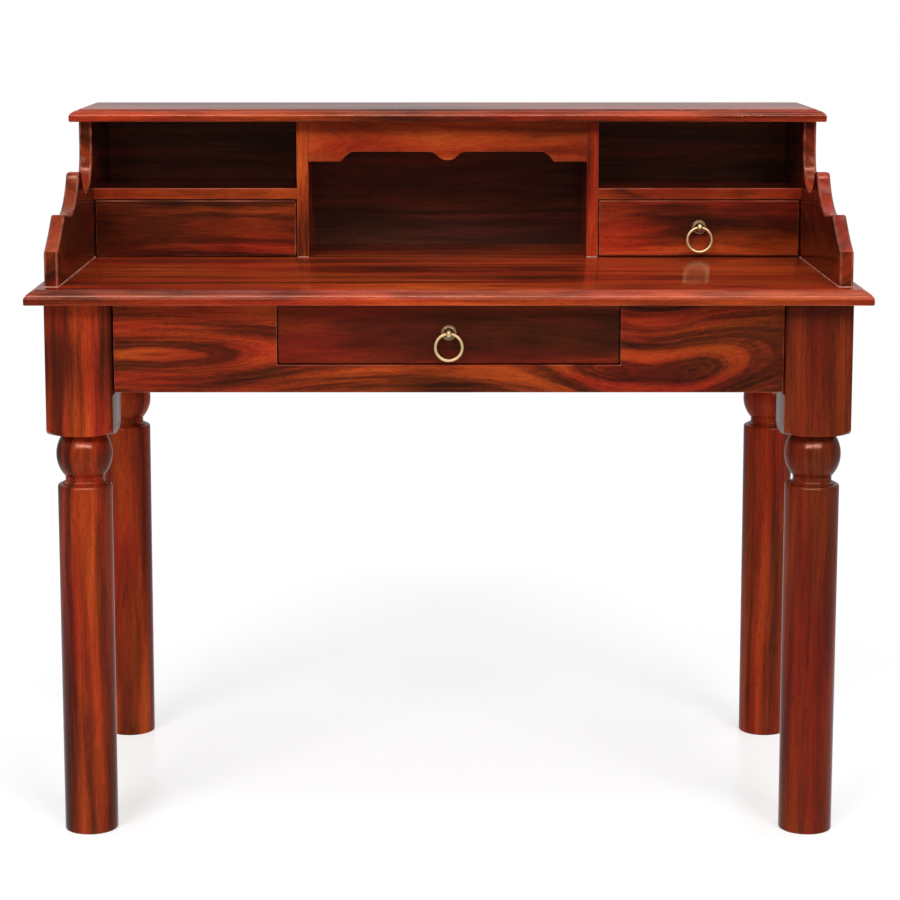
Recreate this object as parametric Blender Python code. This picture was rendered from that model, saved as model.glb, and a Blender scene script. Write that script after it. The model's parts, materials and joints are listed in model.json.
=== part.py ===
"""Writing desk with a drawer hutch: metres, +Z up, front towards -Y, feet on Z = 0, centred on X and Y."""

import math

import bmesh
import bpy
from mathutils import Matrix, Vector

# Fits and edges that all pieces share
FIT = 0.0003  # gap between pieces that touch
REVEAL = 0.002  # gap seen round an inset drawer front
EASE = 0.001  # eased edge of a planed board
OVERRUN = 0.006  # how far a cutter runs past what it cuts

# Desk top
TOP_WIDTH = 1.126
TOP_DEPTH = 0.620
TOP_THICKNESS = 0.020
DESK_HEIGHT = 0.760  # floor to the writing surface
SIDE_OVERHANG = 0.022
FRONT_OVERHANG = 0.030
BACK_OVERHANG = 0.030

# Edge moulding of the desk top and of the hutch top
MOULD_RUN = 0.013  # how far the moulding comes in from the edge
MOULD_STEP = 0.0015  # small step under the flat of the top
MOULD_BULGE = 0.0016  # how far the sloping round stands out from a straight chamfer
NOSE_HEIGHT = 0.0090  # upright nose under the slope
NOSE_ROUND = 0.0024  # under edge of the nose
NOSE_EDGE_ROUND = 0.0020  # upper edge

# Legs
LEG_BLOCK = 0.090  # side of the square block
LEG_BLOCK_HEIGHT = 0.181
LEG_EDGE_ROUND = 0.003
POMMEL_RISE = 0.016  # how far the lathe rounds the corners of the block upwards
BALL_DIAMETER = 0.0763
BALL_HEIGHT = 0.084  # of the whole oval, whose ends the block and the neck cut off
BALL_TOP_DIAMETER = 0.0535
NECK_DIAMETER = 0.0525
NECK_HEIGHT = 0.005
LIP_DIAMETER = 0.060
LIP_HEIGHT = 0.002
SHOULDER_ROUND = 0.004
SHAFT_DIAMETER = 0.074
FOOT_DIAMETER = 0.073
FOOT_CHAMFER = 0.002

# Aprons, corner blocks and leg bolts
APRON_HEIGHT = 0.121
APRON_THICKNESS = 0.022
APRON_SETBACK = 0.004  # from the face of the leg block
LEG_SEAM = 0.0022  # open seam between apron and leg block
CORNER_BLOCK_HEIGHT = 0.060
CORNER_BLOCK_THICKNESS = 0.025
CORNER_BLOCK_GAP = 0.006  # room for the bolt to draw the leg in
BOLT_RADIUS = 0.004
BOLT_IN_LEG = 0.045
BOLT_PROUD = 0.004
LEG_NUT_FLATS = 0.013
LEG_NUT_THICKNESS = 0.0065

# Drawer boxes
FRONT_THICKNESS = 0.019
BOX_THICKNESS = 0.011  # sides and back
BOX_INSET = 0.0015  # how far a side stands in from the end of its front
BOX_LAP = 0.009  # how deep a side laps into the back of its front
BOTTOM_THICKNESS = 0.005
BOTTOM_GROOVE = 0.005
BOTTOM_RISE = 0.007  # wood under the groove

# Middle drawer, its runners and stops
MIDDLE_FRONT_WIDTH = 0.456
MIDDLE_FRONT_HEIGHT = 0.080
MIDDLE_LENGTH = 0.430
MIDDLE_SIDE_HEIGHT = 0.064
RUNNER_PLAY = 0.0015
RUNNER_GUIDE = 0.014
RUNNER_LEDGE_WIDTH = 0.020
RUNNER_LEDGE_THICKNESS = 0.012
STOP_LENGTH = 0.020
STOP_WIDTH = 0.012
STOP_HEIGHT = 0.016

# Hutch case
HUTCH_SIDE_INSET = 0.022  # hutch end to the end of the desk top
HUTCH_INNER_HEIGHT = 0.201  # writing surface to the underside of the hutch top
HUTCH_TOP_THICKNESS = 0.018
HUTCH_TOP_SIDE_OVERHANG = 0.012
HUTCH_TOP_FRONT_OVERHANG = 0.018
HUTCH_BACK_INSET = 0.008  # hutch back to the back edge of the desk top
END_THICKNESS = 0.019
END_ROUND = 0.003
DIVIDER_THICKNESS = 0.017
DIVIDER_SETBACK = 0.0115  # divider front behind the upright edge of the ends
CENTRE_BAY_WIDTH = 0.411
SHELF_CLEAR = 0.0855  # writing surface to the underside of a shelf
SHELF_THICKNESS = 0.016
SHELF_SETBACK = 0.002  # behind the divider fronts
SHELF_DADO = 0.005
BACK_PANEL_THICKNESS = 0.008
BACK_PANEL_RABBET = 0.009
HUTCH_SIDE_HEIGHT = 0.066  # side boards of the hutch drawers

# Scalloped front of the hutch ends: runs behind the gallery front, rises above the desk
GALLERY_SETBACK = 0.042  # gallery front behind the front edge of the desk top
GALLERY_FRONT_RISE = 0.047
SLOPE_HOLLOW = 0.0025
CREST_ROUND = 0.008
FIRST_CREST_RUN = 0.074
FIRST_CREST_RISE = 0.090
VALLEY_RUN = 0.140
VALLEY_RISE = 0.083
COVE_HOLLOW = 0.011
SECOND_CREST_RUN = 0.226
SECOND_CREST_RISE = 0.136
NOTCH_RADIUS = 0.063
NOTCH_RISE = 0.102  # lowest point of the notch
UPRIGHT_RUN = 0.364  # upright front edge of the case

# Valance: drops below the hutch top, offsets from its middle
VALANCE_THICKNESS = 0.017
VALANCE_SETBACK = 0.002
VALANCE_END_DROP = 0.0595
VALANCE_FLAT_DROP = 0.045
VALANCE_TIP_DROP = 0.0575
VALANCE_EAR_OUT = 0.1565
VALANCE_EAR_IN = 0.141
VALANCE_TIP_HALF = 0.029
VALANCE_BOW = 0.0018  # how far its sloping cuts curve

# Ring pulls
PULL_RISE = 0.0015  # above the middle of the drawer front
PULL_STANDOFF = 0.0105  # drawer face to the ring's axis
ROSETTE_DIAMETER = 0.0206
ROSETTE_THICKNESS = 0.0034
ROSETTE_RIM = 0.0011
ROSETTE_DOME_DIAMETER = 0.0146
ROSETTE_DOME_START = 20  # degrees round the dome where it leaves the rim
POST_NECK_RADIUS = 0.0032
POST_HEAD_WIDTH = 0.0090
POST_HEAD_HEIGHT = 0.0116
POST_HEAD_DEPTH = 0.0112
SHANK_RADIUS = 0.002
SHANK_PROUD = 0.002
RING_RADIUS = 0.018  # to the middle of the wire
RING_WIRE_RADIUS = 0.0021
PULL_NUT_FLATS = 0.007
PULL_NUT_THICKNESS = 0.003

# Facets
LEG_SIDES = 24
BALL_STEPS = 9
ROUND_STEPS = 3
ARC_STEPS = 6
NOTCH_STEPS = 12
BOLT_SIDES = 12
ROSETTE_SIDES = 24
POST_SIDES = 16
RING_STEPS = 32
WIRE_SIDES = 8
SMOOTH_BELOW = math.radians(40)
CORNER_SHARE = 0.45  # the most of a straight that a rounded corner takes

# Places worked out from the sizes above
TOP_FRONT = -TOP_DEPTH / 2
TOP_BACK = TOP_DEPTH / 2
UNDERSIDE = DESK_HEIGHT - TOP_THICKNESS
LEG_TOP = UNDERSIDE - FIT
LEG_OUT = TOP_WIDTH / 2 - SIDE_OVERHANG  # outer face of the leg blocks
LEG_X = LEG_OUT - LEG_BLOCK / 2
LEG_FRONT_Y = TOP_FRONT + FRONT_OVERHANG + LEG_BLOCK / 2
LEG_BACK_Y = TOP_BACK - BACK_OVERHANG - LEG_BLOCK / 2
APRON_BOTTOM = LEG_TOP - APRON_HEIGHT
APRON_IN = APRON_SETBACK + APRON_THICKNESS  # leg face to the inner face of an apron
FRONT_APRON_FACE = TOP_FRONT + FRONT_OVERHANG + APRON_SETBACK
FRONT_APRON_INNER = FRONT_APRON_FACE + APRON_THICKNESS
BACK_APRON_FACE = TOP_BACK - BACK_OVERHANG - APRON_SETBACK
BACK_APRON_INNER = BACK_APRON_FACE - APRON_THICKNESS
OPENING_HALF = MIDDLE_FRONT_WIDTH / 2 + REVEAL
OPENING_BOTTOM = UNDERSIDE - MIDDLE_FRONT_HEIGHT - 2 * REVEAL
MIDDLE_BOX_BOTTOM = OPENING_BOTTOM + REVEAL / 2
HUTCH_UNDERSIDE = DESK_HEIGHT + HUTCH_INNER_HEIGHT
HUTCH_HALF = TOP_WIDTH / 2 - HUTCH_SIDE_INSET
HUTCH_INSIDE = HUTCH_HALF - END_THICKNESS
HUTCH_REAR = TOP_BACK - HUTCH_BACK_INSET
PANEL_FACE = HUTCH_REAR - BACK_PANEL_THICKNESS
GALLERY_FRONT = TOP_FRONT + GALLERY_SETBACK
UPRIGHT_FRONT = GALLERY_FRONT + UPRIGHT_RUN
DIVIDER_FRONT = UPRIGHT_FRONT + DIVIDER_SETBACK
SHELF_FRONT = DIVIDER_FRONT + SHELF_SETBACK
DIVIDER_IN = CENTRE_BAY_WIDTH / 2
DIVIDER_OUT = DIVIDER_IN + DIVIDER_THICKNESS
SHELF_BOTTOM = DESK_HEIGHT + SHELF_CLEAR
RING_SAG = RING_RADIUS - math.sqrt(RING_RADIUS**2 - (POST_HEAD_WIDTH / 2) ** 2)
EYE_RADIUS = RING_WIRE_RADIUS + RING_SAG + FIT


def clear_scene():
    for obj in list(bpy.data.objects):
        bpy.data.objects.remove(obj)


def finish(name, colour, roughness, metallic=0.0):
    """A Principled material; colour is linear RGB."""
    made = bpy.data.materials.new(name)
    made.use_nodes = True
    shader = made.node_tree.nodes["Principled BSDF"]
    shader.inputs["Base Color"].default_value = (*colour, 1.0)
    shader.inputs["Roughness"].default_value = roughness
    shader.inputs["Metallic"].default_value = metallic
    made.diffuse_color = (*colour, 1.0)
    return made


def place_of(obj):
    """Where an unturned object or empty stands in the world."""
    total = Vector((0.0, 0.0, 0.0))
    while obj:
        total += obj.location
        obj = obj.parent
    return total


def empty(name, place, parent=None):
    made = bpy.data.objects.new(name, None)
    bpy.context.scene.collection.objects.link(made)
    made.parent = parent
    made.location = Vector(place) - place_of(parent)
    return made


def add(name, shape, material, place, parent=None, smooth=False):
    """Makes an object from a bmesh that is modelled round its own origin."""
    mesh = bpy.data.meshes.new(name)
    shape.to_mesh(mesh)
    shape.free()
    if smooth:
        mesh.shade_smooth()
        mesh.set_sharp_from_angle(angle=SMOOTH_BELOW)
    return add_mesh(name, mesh, material, place, parent)


def add_mesh(name, mesh, material, place, parent=None):
    obj = bpy.data.objects.new(name, mesh)
    if material and not mesh.materials:
        mesh.materials.append(material)
    bpy.context.scene.collection.objects.link(obj)
    obj.parent = parent
    obj.location = Vector(place) - place_of(parent)
    return obj


def ease_edges(shape, width, segments=1, edges=None):
    bmesh.ops.bevel(
        shape,
        geom=edges or list(shape.edges),
        offset=width,
        segments=segments,
        profile=0.5,
        affect="EDGES",
        clamp_overlap=True,
    )


def block(low, high, ease=0.0):
    """A box round its own middle, and that middle."""
    low, high = Vector(low), Vector(high)
    shape = bmesh.new()
    bmesh.ops.create_cube(shape, size=1.0)
    bmesh.ops.scale(shape, vec=high - low, verts=shape.verts)
    if ease:
        ease_edges(shape, ease)
    return shape, (low + high) / 2


def board(name, low, high, material, parent=None):
    shape, middle = block(low, high, EASE)
    return add(name, shape, material, middle, parent)


def extrusion(outline, low, high, axis):
    """An outline in the plane square to axis, drawn out along it from low to high."""
    shape = bmesh.new()
    place = "XYZ".index(axis)
    corners = [(*point[:place], low, *point[place:]) for point in outline]
    face = shape.faces.new([shape.verts.new(corner) for corner in corners])
    drawn = bmesh.ops.extrude_face_region(shape, geom=[face])["geom"]
    moved = [item for item in drawn if isinstance(item, bmesh.types.BMVert)]
    way = Vector((0.0, 0.0, 0.0))
    way[place] = high - low
    bmesh.ops.translate(shape, vec=way, verts=moved)
    bmesh.ops.recalc_face_normals(shape, faces=shape.faces)
    return shape


def turned(profile, sides, closed=False):
    """Turns (radius, height) points round Z: a closed profile makes a ring, an open one ends on Z."""
    shape = bmesh.new()
    rings = []
    for radius, height in profile:
        if radius <= 0.0:
            rings.append([shape.verts.new((0.0, 0.0, height))])
            continue
        angles = [2 * math.pi * step / sides for step in range(sides)]
        rings.append([shape.verts.new((radius * math.cos(a), radius * math.sin(a), height)) for a in angles])
    pairs = list(zip(rings, rings[1:]))
    if closed:
        pairs.append((rings[-1], rings[0]))
    for lower, upper in pairs:
        for step in range(sides):
            after = (step + 1) % sides
            corners = [lower[step % len(lower)], lower[after % len(lower)]]
            corners += [upper[after % len(upper)], upper[step % len(upper)]]
            shape.faces.new(list(dict.fromkeys(corners)))
    bmesh.ops.recalc_face_normals(shape, faces=shape.faces)
    return shape


def arc(middle, radii, start, stop, steps):
    """Points of an oval arc, both ends included; angles in degrees."""
    angles = [math.radians(start + (stop - start) * step / steps) for step in range(steps + 1)]
    return [(middle[0] + radii[0] * math.cos(a), middle[1] + radii[1] * math.sin(a)) for a in angles]


def bowed(start, end, bow, steps):
    """Points between two ends on a circle that stands bow off their line, to its left where positive."""
    run, rise = end[0] - start[0], end[1] - start[1]
    length = math.hypot(run, rise)
    radius = (length**2 / 4 + bow**2) / (2 * abs(bow))
    spread = math.asin(min(1.0, length / 2 / radius))
    points = []
    for step in range(1, steps):
        swing = spread * (2 * step / steps - 1)
        along = length / 2 + radius * math.sin(swing)
        off = math.copysign(radius * (math.cos(swing) - math.cos(spread)), bow)
        across = start[0] + (run * along - rise * off) / length
        up = start[1] + (rise * along + run * off) / length
        points.append((across, up))
    return points


def rounded_corner(before, corner, after, radius):
    """Points that round one corner of an outline, limited by the straights beside it."""
    corner = Vector(corner)
    back = Vector(before) - corner
    ahead = Vector(after) - corner
    half = back.angle(ahead) / 2
    reach = min(radius / math.tan(half), CORNER_SHARE * back.length, CORNER_SHARE * ahead.length)
    start = tuple(corner + back.normalized() * reach)
    end = tuple(corner + ahead.normalized() * reach)
    bow = math.copysign(reach * math.tan(half) * (1 - math.sin(half)), back.x * ahead.y - back.y * ahead.x)
    return [start, *bowed(start, end, bow, ROUND_STEPS), end]


def hide_cutter(obj):
    obj.hide_render = True
    obj.display_type = "WIRE"


def cut(target, cutter, operation="DIFFERENCE"):
    hide_cutter(cutter)
    modifier = target.modifiers.new(cutter.name, "BOOLEAN")
    modifier.operation = operation
    modifier.object = cutter


def cut_box(target, low, high):
    shape, middle = block(low, high)
    cut(target, add(f"{target.name}_cut_{len(target.modifiers)}", shape, None, middle))


def rod(radius, start, end, sides):
    """A cylinder between two points, modelled round its own middle."""
    start, end = Vector(start), Vector(end)
    shape = bmesh.new()
    bmesh.ops.create_cone(
        shape, cap_ends=True, segments=sides, radius1=radius, radius2=radius, depth=(end - start).length
    )
    turn = (end - start).to_track_quat("Z", "Y").to_matrix()
    bmesh.ops.rotate(shape, matrix=turn, verts=shape.verts)
    return shape, (start + end) / 2


def cut_hole(target, radius, start, end, sides):
    shape, middle = rod(radius, start, end, sides)
    cut(target, add(f"{target.name}_cut_{len(target.modifiers)}", shape, None, middle))


def hex_nut(name, flats, thickness, bore, seat, direction, material, parent=None):
    """A hexagon nut whose near face stands at seat and whose axis runs along direction."""
    direction = Vector(direction).normalized()
    corner = flats / math.sqrt(3)
    middle = Vector(seat) + direction * thickness / 2
    shape, _ = rod(corner, direction * -thickness / 2, direction * thickness / 2, 6)
    nut = add(name, shape, material, middle, parent)
    reach = direction * (thickness / 2 + OVERRUN)
    cut_hole(nut, bore, middle - reach, middle + reach, BOLT_SIDES)
    return nut


def moulded_profile(thickness):
    """(inset, drop) points of the edge moulding, from the flat of the top down to the underside."""
    slope_start = (MOULD_RUN - MOULD_STEP, MOULD_STEP)
    slope_end = (0.0, thickness - NOSE_HEIGHT)
    slope = bowed(slope_start, slope_end, MOULD_BULGE, ARC_STEPS)
    nose_foot = (0.0, thickness - NOSE_ROUND)
    return [
        (MOULD_RUN, 0.0),
        (MOULD_RUN, MOULD_STEP),
        slope_start,
        *slope,
        *rounded_corner(slope[-1], slope_end, nose_foot, NOSE_EDGE_ROUND),
        nose_foot,
        (NOSE_ROUND, thickness),
    ]


def moulded_top(name, half_width, front, back, top, thickness, material):
    """A board whose front and ends carry the moulding, mitred at the corners, with a square back edge."""
    shape = bmesh.new()
    loops = []
    for inset, drop in moulded_profile(thickness):
        x, height = half_width - inset, -drop
        corners = [(-x, front + inset), (x, front + inset), (x, back), (-x, back)]
        loops.append([shape.verts.new((cx, cy, height)) for cx, cy in corners])
    for upper, lower in zip(loops, loops[1:]):
        for step in range(4):
            after = (step + 1) % 4
            shape.faces.new([upper[step], lower[step], lower[after], upper[after]])
    shape.faces.new(loops[0])
    shape.faces.new(loops[-1][::-1])
    bmesh.ops.recalc_face_normals(shape, faces=shape.faces)
    return add(name, shape, material, (0.0, 0.0, top))


def leg_profile():
    """(radius, height) of the turned leg, foot to top. Above the ball it only rounds the block's corners."""
    ball, tall = BALL_DIAMETER / 2, BALL_HEIGHT / 2
    block_bottom = LEG_TOP - LEG_BLOCK_HEIGHT
    top_angle = math.degrees(math.acos(BALL_TOP_DIAMETER / BALL_DIAMETER))
    neck_angle = -math.degrees(math.acos(NECK_DIAMETER / BALL_DIAMETER))
    ball_middle = block_bottom - tall * math.sin(math.radians(top_angle))
    neck_top = ball_middle + tall * math.sin(math.radians(neck_angle))
    flare = (LIP_DIAMETER - NECK_DIAMETER) / 2
    lip_top = neck_top - NECK_HEIGHT - flare
    shoulder = lip_top - LIP_HEIGHT
    shaft = SHAFT_DIAMETER / 2
    half, corner = LEG_BLOCK / 2, LEG_BLOCK / 2 * math.sqrt(2)
    round_middle = (shaft - SHOULDER_ROUND, shoulder - SHOULDER_ROUND)
    flare_middle = (LIP_DIAMETER / 2, neck_top - NECK_HEIGHT)
    return [
        (0.0, 0.0),
        (FOOT_DIAMETER / 2 - FOOT_CHAMFER, 0.0),
        (FOOT_DIAMETER / 2, FOOT_CHAMFER),
        *arc(round_middle, (SHOULDER_ROUND, SHOULDER_ROUND), 0, 90, ROUND_STEPS),
        (LIP_DIAMETER / 2, shoulder),
        *arc(flare_middle, (flare, flare), 270, 180, ROUND_STEPS),
        *arc((0.0, ball_middle), (ball, tall), neck_angle, top_angle, BALL_STEPS),
        *arc((half, block_bottom + POMMEL_RISE), (corner - half, POMMEL_RISE), 270, 360, ARC_STEPS),
        (corner + OVERRUN, block_bottom + POMMEL_RISE + OVERRUN),
        (corner + OVERRUN, LEG_TOP + OVERRUN),
        (0.0, LEG_TOP + OVERRUN),
    ]


def leg_mesh(wood):
    """One leg round its axis: square stock turned below the block, with a bolt hole in its +X +Y corner."""
    half = LEG_BLOCK / 2
    stock_shape, middle = block((-half, -half, -OVERRUN), (half, half, LEG_TOP))
    upright = [edge for edge in stock_shape.edges if abs(edge.verts[0].co.z - edge.verts[1].co.z) > half]
    ease_edges(stock_shape, LEG_EDGE_ROUND, 2, upright)
    stock = add("leg_stock", stock_shape, wood, middle)
    turning = add("leg_turning", turned(leg_profile(), LEG_SIDES), wood, (0.0, 0.0, 0.0))
    cut(stock, turning, "INTERSECT")
    corner = Vector((half, half, UNDERSIDE - CORNER_BLOCK_HEIGHT / 2))
    inward = Vector((1.0, 1.0, 0.0)).normalized()
    hole_end = corner - inward * (BOLT_IN_LEG + FIT)
    cut_hole(stock, BOLT_RADIUS + FIT, hole_end, corner + inward * OVERRUN, BOLT_SIDES)
    bpy.context.view_layer.update()
    shown = stock.evaluated_get(bpy.context.evaluated_depsgraph_get())
    mesh = bpy.data.meshes.new_from_object(shown)
    mesh.transform(Matrix.Translation(middle))
    mesh.name = "leg"
    mesh.shade_smooth()
    mesh.set_sharp_from_angle(angle=SMOOTH_BELOW)
    for helper in [*[modifier.object for modifier in stock.modifiers], stock]:
        bpy.data.objects.remove(helper)
    return mesh


def corners():
    """(name, X side, Y side, leg's Y, inner face of the front or back apron) of the four corners."""
    for end, y_side, leg_y, apron_inner in (
        ("front", -1, LEG_FRONT_Y, FRONT_APRON_INNER),
        ("back", 1, LEG_BACK_Y, BACK_APRON_INNER),
    ):
        for hand, x_side in (("left", -1), ("right", 1)):
            yield f"{end}_{hand}", x_side, y_side, leg_y, apron_inner


def make_legs(wood, steel):
    """Legs, the blocks behind them, and the bolts and nuts that draw each leg into its corner."""
    mesh = leg_mesh(wood)
    turn_to = {(-1, -1): 0, (1, -1): 90, (1, 1): 180, (-1, 1): 270}
    side_inner = LEG_OUT - APRON_IN
    bolt_height = UNDERSIDE - CORNER_BLOCK_HEIGHT / 2
    for name, x_side, y_side, leg_y, apron_inner in corners():
        leg = add_mesh(f"leg_{name}", mesh, None, (x_side * LEG_X, leg_y, 0.0))
        leg.rotation_euler.z = math.radians(turn_to[x_side, y_side])
        inward = Vector((-x_side, -y_side, 0.0)).normalized()
        corner = Vector((x_side * LEG_X, leg_y, bolt_height)) + inward * LEG_BLOCK / 2 * math.sqrt(2)
        near = 2 * (LEG_BLOCK - APRON_IN) + math.sqrt(2) * CORNER_BLOCK_GAP
        far = near + math.sqrt(2) * CORNER_BLOCK_THICKNESS
        flat = [(near - FIT, FIT), (far - FIT, FIT), (FIT, far - FIT), (FIT, near - FIT)]
        plan = [(x_side * (side_inner - u), apron_inner - y_side * w) for u, w in flat]
        shape = extrusion(plan, LEG_TOP - CORNER_BLOCK_HEIGHT, LEG_TOP, "Z")
        brace = add(f"corner_block_{name}", shape, wood, (0.0, 0.0, 0.0))
        seat = corner + inward * (CORNER_BLOCK_GAP + CORNER_BLOCK_THICKNESS + FIT)
        bolt_end = seat + inward * (LEG_NUT_THICKNESS + BOLT_PROUD)
        cut_hole(brace, BOLT_RADIUS + FIT, corner - inward * OVERRUN, seat + inward * OVERRUN, BOLT_SIDES)
        shape, middle = rod(BOLT_RADIUS, corner - inward * BOLT_IN_LEG, bolt_end, BOLT_SIDES)
        add(f"leg_bolt_{name}", shape, steel, middle, smooth=True)
        bore = BOLT_RADIUS + FIT
        hex_nut(f"leg_nut_{name}", LEG_NUT_FLATS, LEG_NUT_THICKNESS, bore, seat, inward, steel)


def make_aprons(wood):
    reach = LEG_X - LEG_BLOCK / 2 - LEG_SEAM
    notch = [(OPENING_HALF, LEG_TOP), (OPENING_HALF, OPENING_BOTTOM)]
    outline = [(-reach, APRON_BOTTOM), (reach, APRON_BOTTOM), (reach, LEG_TOP), *notch]
    outline += [(-x, z) for x, z in reversed(notch)]
    outline.append((-reach, LEG_TOP))
    shape = extrusion(outline, FRONT_APRON_FACE, FRONT_APRON_INNER, "Y")
    ease_edges(shape, EASE)
    add("front_apron", shape, wood, (0.0, 0.0, 0.0))
    low = (-reach, BACK_APRON_INNER, APRON_BOTTOM)
    board("back_apron", low, (reach, BACK_APRON_FACE, LEG_TOP), wood)
    ends = [LEG_FRONT_Y + LEG_BLOCK / 2 + LEG_SEAM, LEG_BACK_Y - LEG_BLOCK / 2 - LEG_SEAM]
    for hand, side in (("left", -1), ("right", 1)):
        faces = sorted([side * (LEG_OUT - APRON_SETBACK), side * (LEG_OUT - APRON_IN)])
        low = (faces[0], ends[0], APRON_BOTTOM)
        board(f"{hand}_apron", low, (faces[1], ends[1], LEG_TOP), wood)


def make_runners(lining):
    """L-shaped runners under the top between the aprons, each with a stop block behind the drawer."""
    guide = MIDDLE_FRONT_WIDTH / 2 - BOX_INSET + RUNNER_PLAY
    ledge_top = MIDDLE_BOX_BOTTOM - FIT
    ledge_bottom = ledge_top - RUNNER_LEDGE_THICKNESS
    edge = guide - RUNNER_LEDGE_WIDTH
    outer = guide + RUNNER_GUIDE
    section = [(edge, ledge_bottom), (outer, ledge_bottom), (outer, LEG_TOP)]
    section += [(guide, LEG_TOP), (guide, ledge_top), (edge, ledge_top)]
    stop_start = FRONT_APRON_FACE + MIDDLE_LENGTH + FIT
    for hand, side in (("left", -1), ("right", 1)):
        outline = [(side * x, z) for x, z in section]
        shape = extrusion(outline, FRONT_APRON_INNER + FIT, BACK_APRON_INNER - FIT, "Y")
        add(f"drawer_runner_{hand}", shape, lining, (0.0, 0.0, 0.0))
        faces = sorted([side * (guide - FIT), side * (guide - FIT - STOP_WIDTH)])
        low = (faces[0], stop_start, ledge_top + FIT)
        high = (faces[1], stop_start + STOP_LENGTH, ledge_top + FIT + STOP_HEIGHT)
        board(f"drawer_stop_{hand}", low, high, lining)


def make_drawer(name, x, face, front_bottom, box_bottom, width, height, length, side_height, wood, lining):
    """A drawer of five boards. Its empty stands at the middle of the front's face and slides along -Y."""
    slide = empty(f"{name}_slide", (x, face, front_bottom + height / 2))
    half = width / 2
    front_back = face + FRONT_THICKNESS
    end = face + length
    outside = half - BOX_INSET
    inside = outside - BOX_THICKNESS
    groove_low = box_bottom + BOTTOM_RISE
    groove_high = groove_low + BOTTOM_THICKNESS + 2 * FIT
    lap = front_back - BOX_LAP

    low = (x - half, face, front_bottom)
    front = board(f"{name}_front", low, (x + half, front_back, front_bottom + height), wood, slide)
    for hand, side in (("left", -1), ("right", 1)):
        cut_faces = sorted([x + side * (inside - FIT), x + side * (half + OVERRUN)])
        low = (cut_faces[0], lap, front_bottom - OVERRUN)
        cut_box(front, low, (cut_faces[1], front_back + OVERRUN, front_bottom + height + OVERRUN))
        faces = sorted([x + side * inside, x + side * outside])
        low = (faces[0], lap + FIT, box_bottom)
        wall = board(f"{name}_side_{hand}", low, (faces[1], end, box_bottom + side_height), lining, slide)
        groove = sorted([x + side * (inside - OVERRUN), x + side * (inside + BOTTOM_GROOVE)])
        low = (groove[0], lap - OVERRUN, groove_low)
        cut_box(wall, low, (groove[1], end + OVERRUN, groove_high))
    groove_back = front_back - BOTTOM_GROOVE
    low = (x - inside - FIT - OVERRUN, groove_back, groove_low)
    cut_box(front, low, (x + inside + FIT + OVERRUN, front_back + OVERRUN, groove_high))

    low = (x - inside + FIT, end - BOX_THICKNESS, groove_high)
    board(f"{name}_back", low, (x + inside - FIT, end, box_bottom + side_height), lining, slide)
    reach = inside + BOTTOM_GROOVE - FIT
    low = (x - reach, groove_back + FIT, groove_low + FIT)
    shape, middle = block(low, (x + reach, end, groove_low + FIT + BOTTOM_THICKNESS))
    add(f"{name}_bottom", shape, lining, middle, slide)
    return slide, front


def ring_shape():
    """The ring hanging straight down from the origin, which is on the hinge axis, in the XZ plane."""
    shape = bmesh.new()
    hoops = []
    for step in range(RING_STEPS):
        turn = 2 * math.pi * step / RING_STEPS
        hoop = []
        for side in range(WIRE_SIDES):
            round_wire = 2 * math.pi * side / WIRE_SIDES
            out = RING_RADIUS + RING_WIRE_RADIUS * math.cos(round_wire)
            depth = RING_WIRE_RADIUS * math.sin(round_wire)
            hoop.append(shape.verts.new((out * math.sin(turn), depth, out * math.cos(turn) - RING_RADIUS)))
        hoops.append(hoop)
    for hoop, after in zip(hoops, hoops[1:] + hoops[:1]):
        for side in range(WIRE_SIDES):
            beside = (side + 1) % WIRE_SIDES
            shape.faces.new([hoop[side], hoop[beside], after[beside], after[side]])
    bmesh.ops.recalc_face_normals(shape, faces=shape.faces)
    return shape


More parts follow.
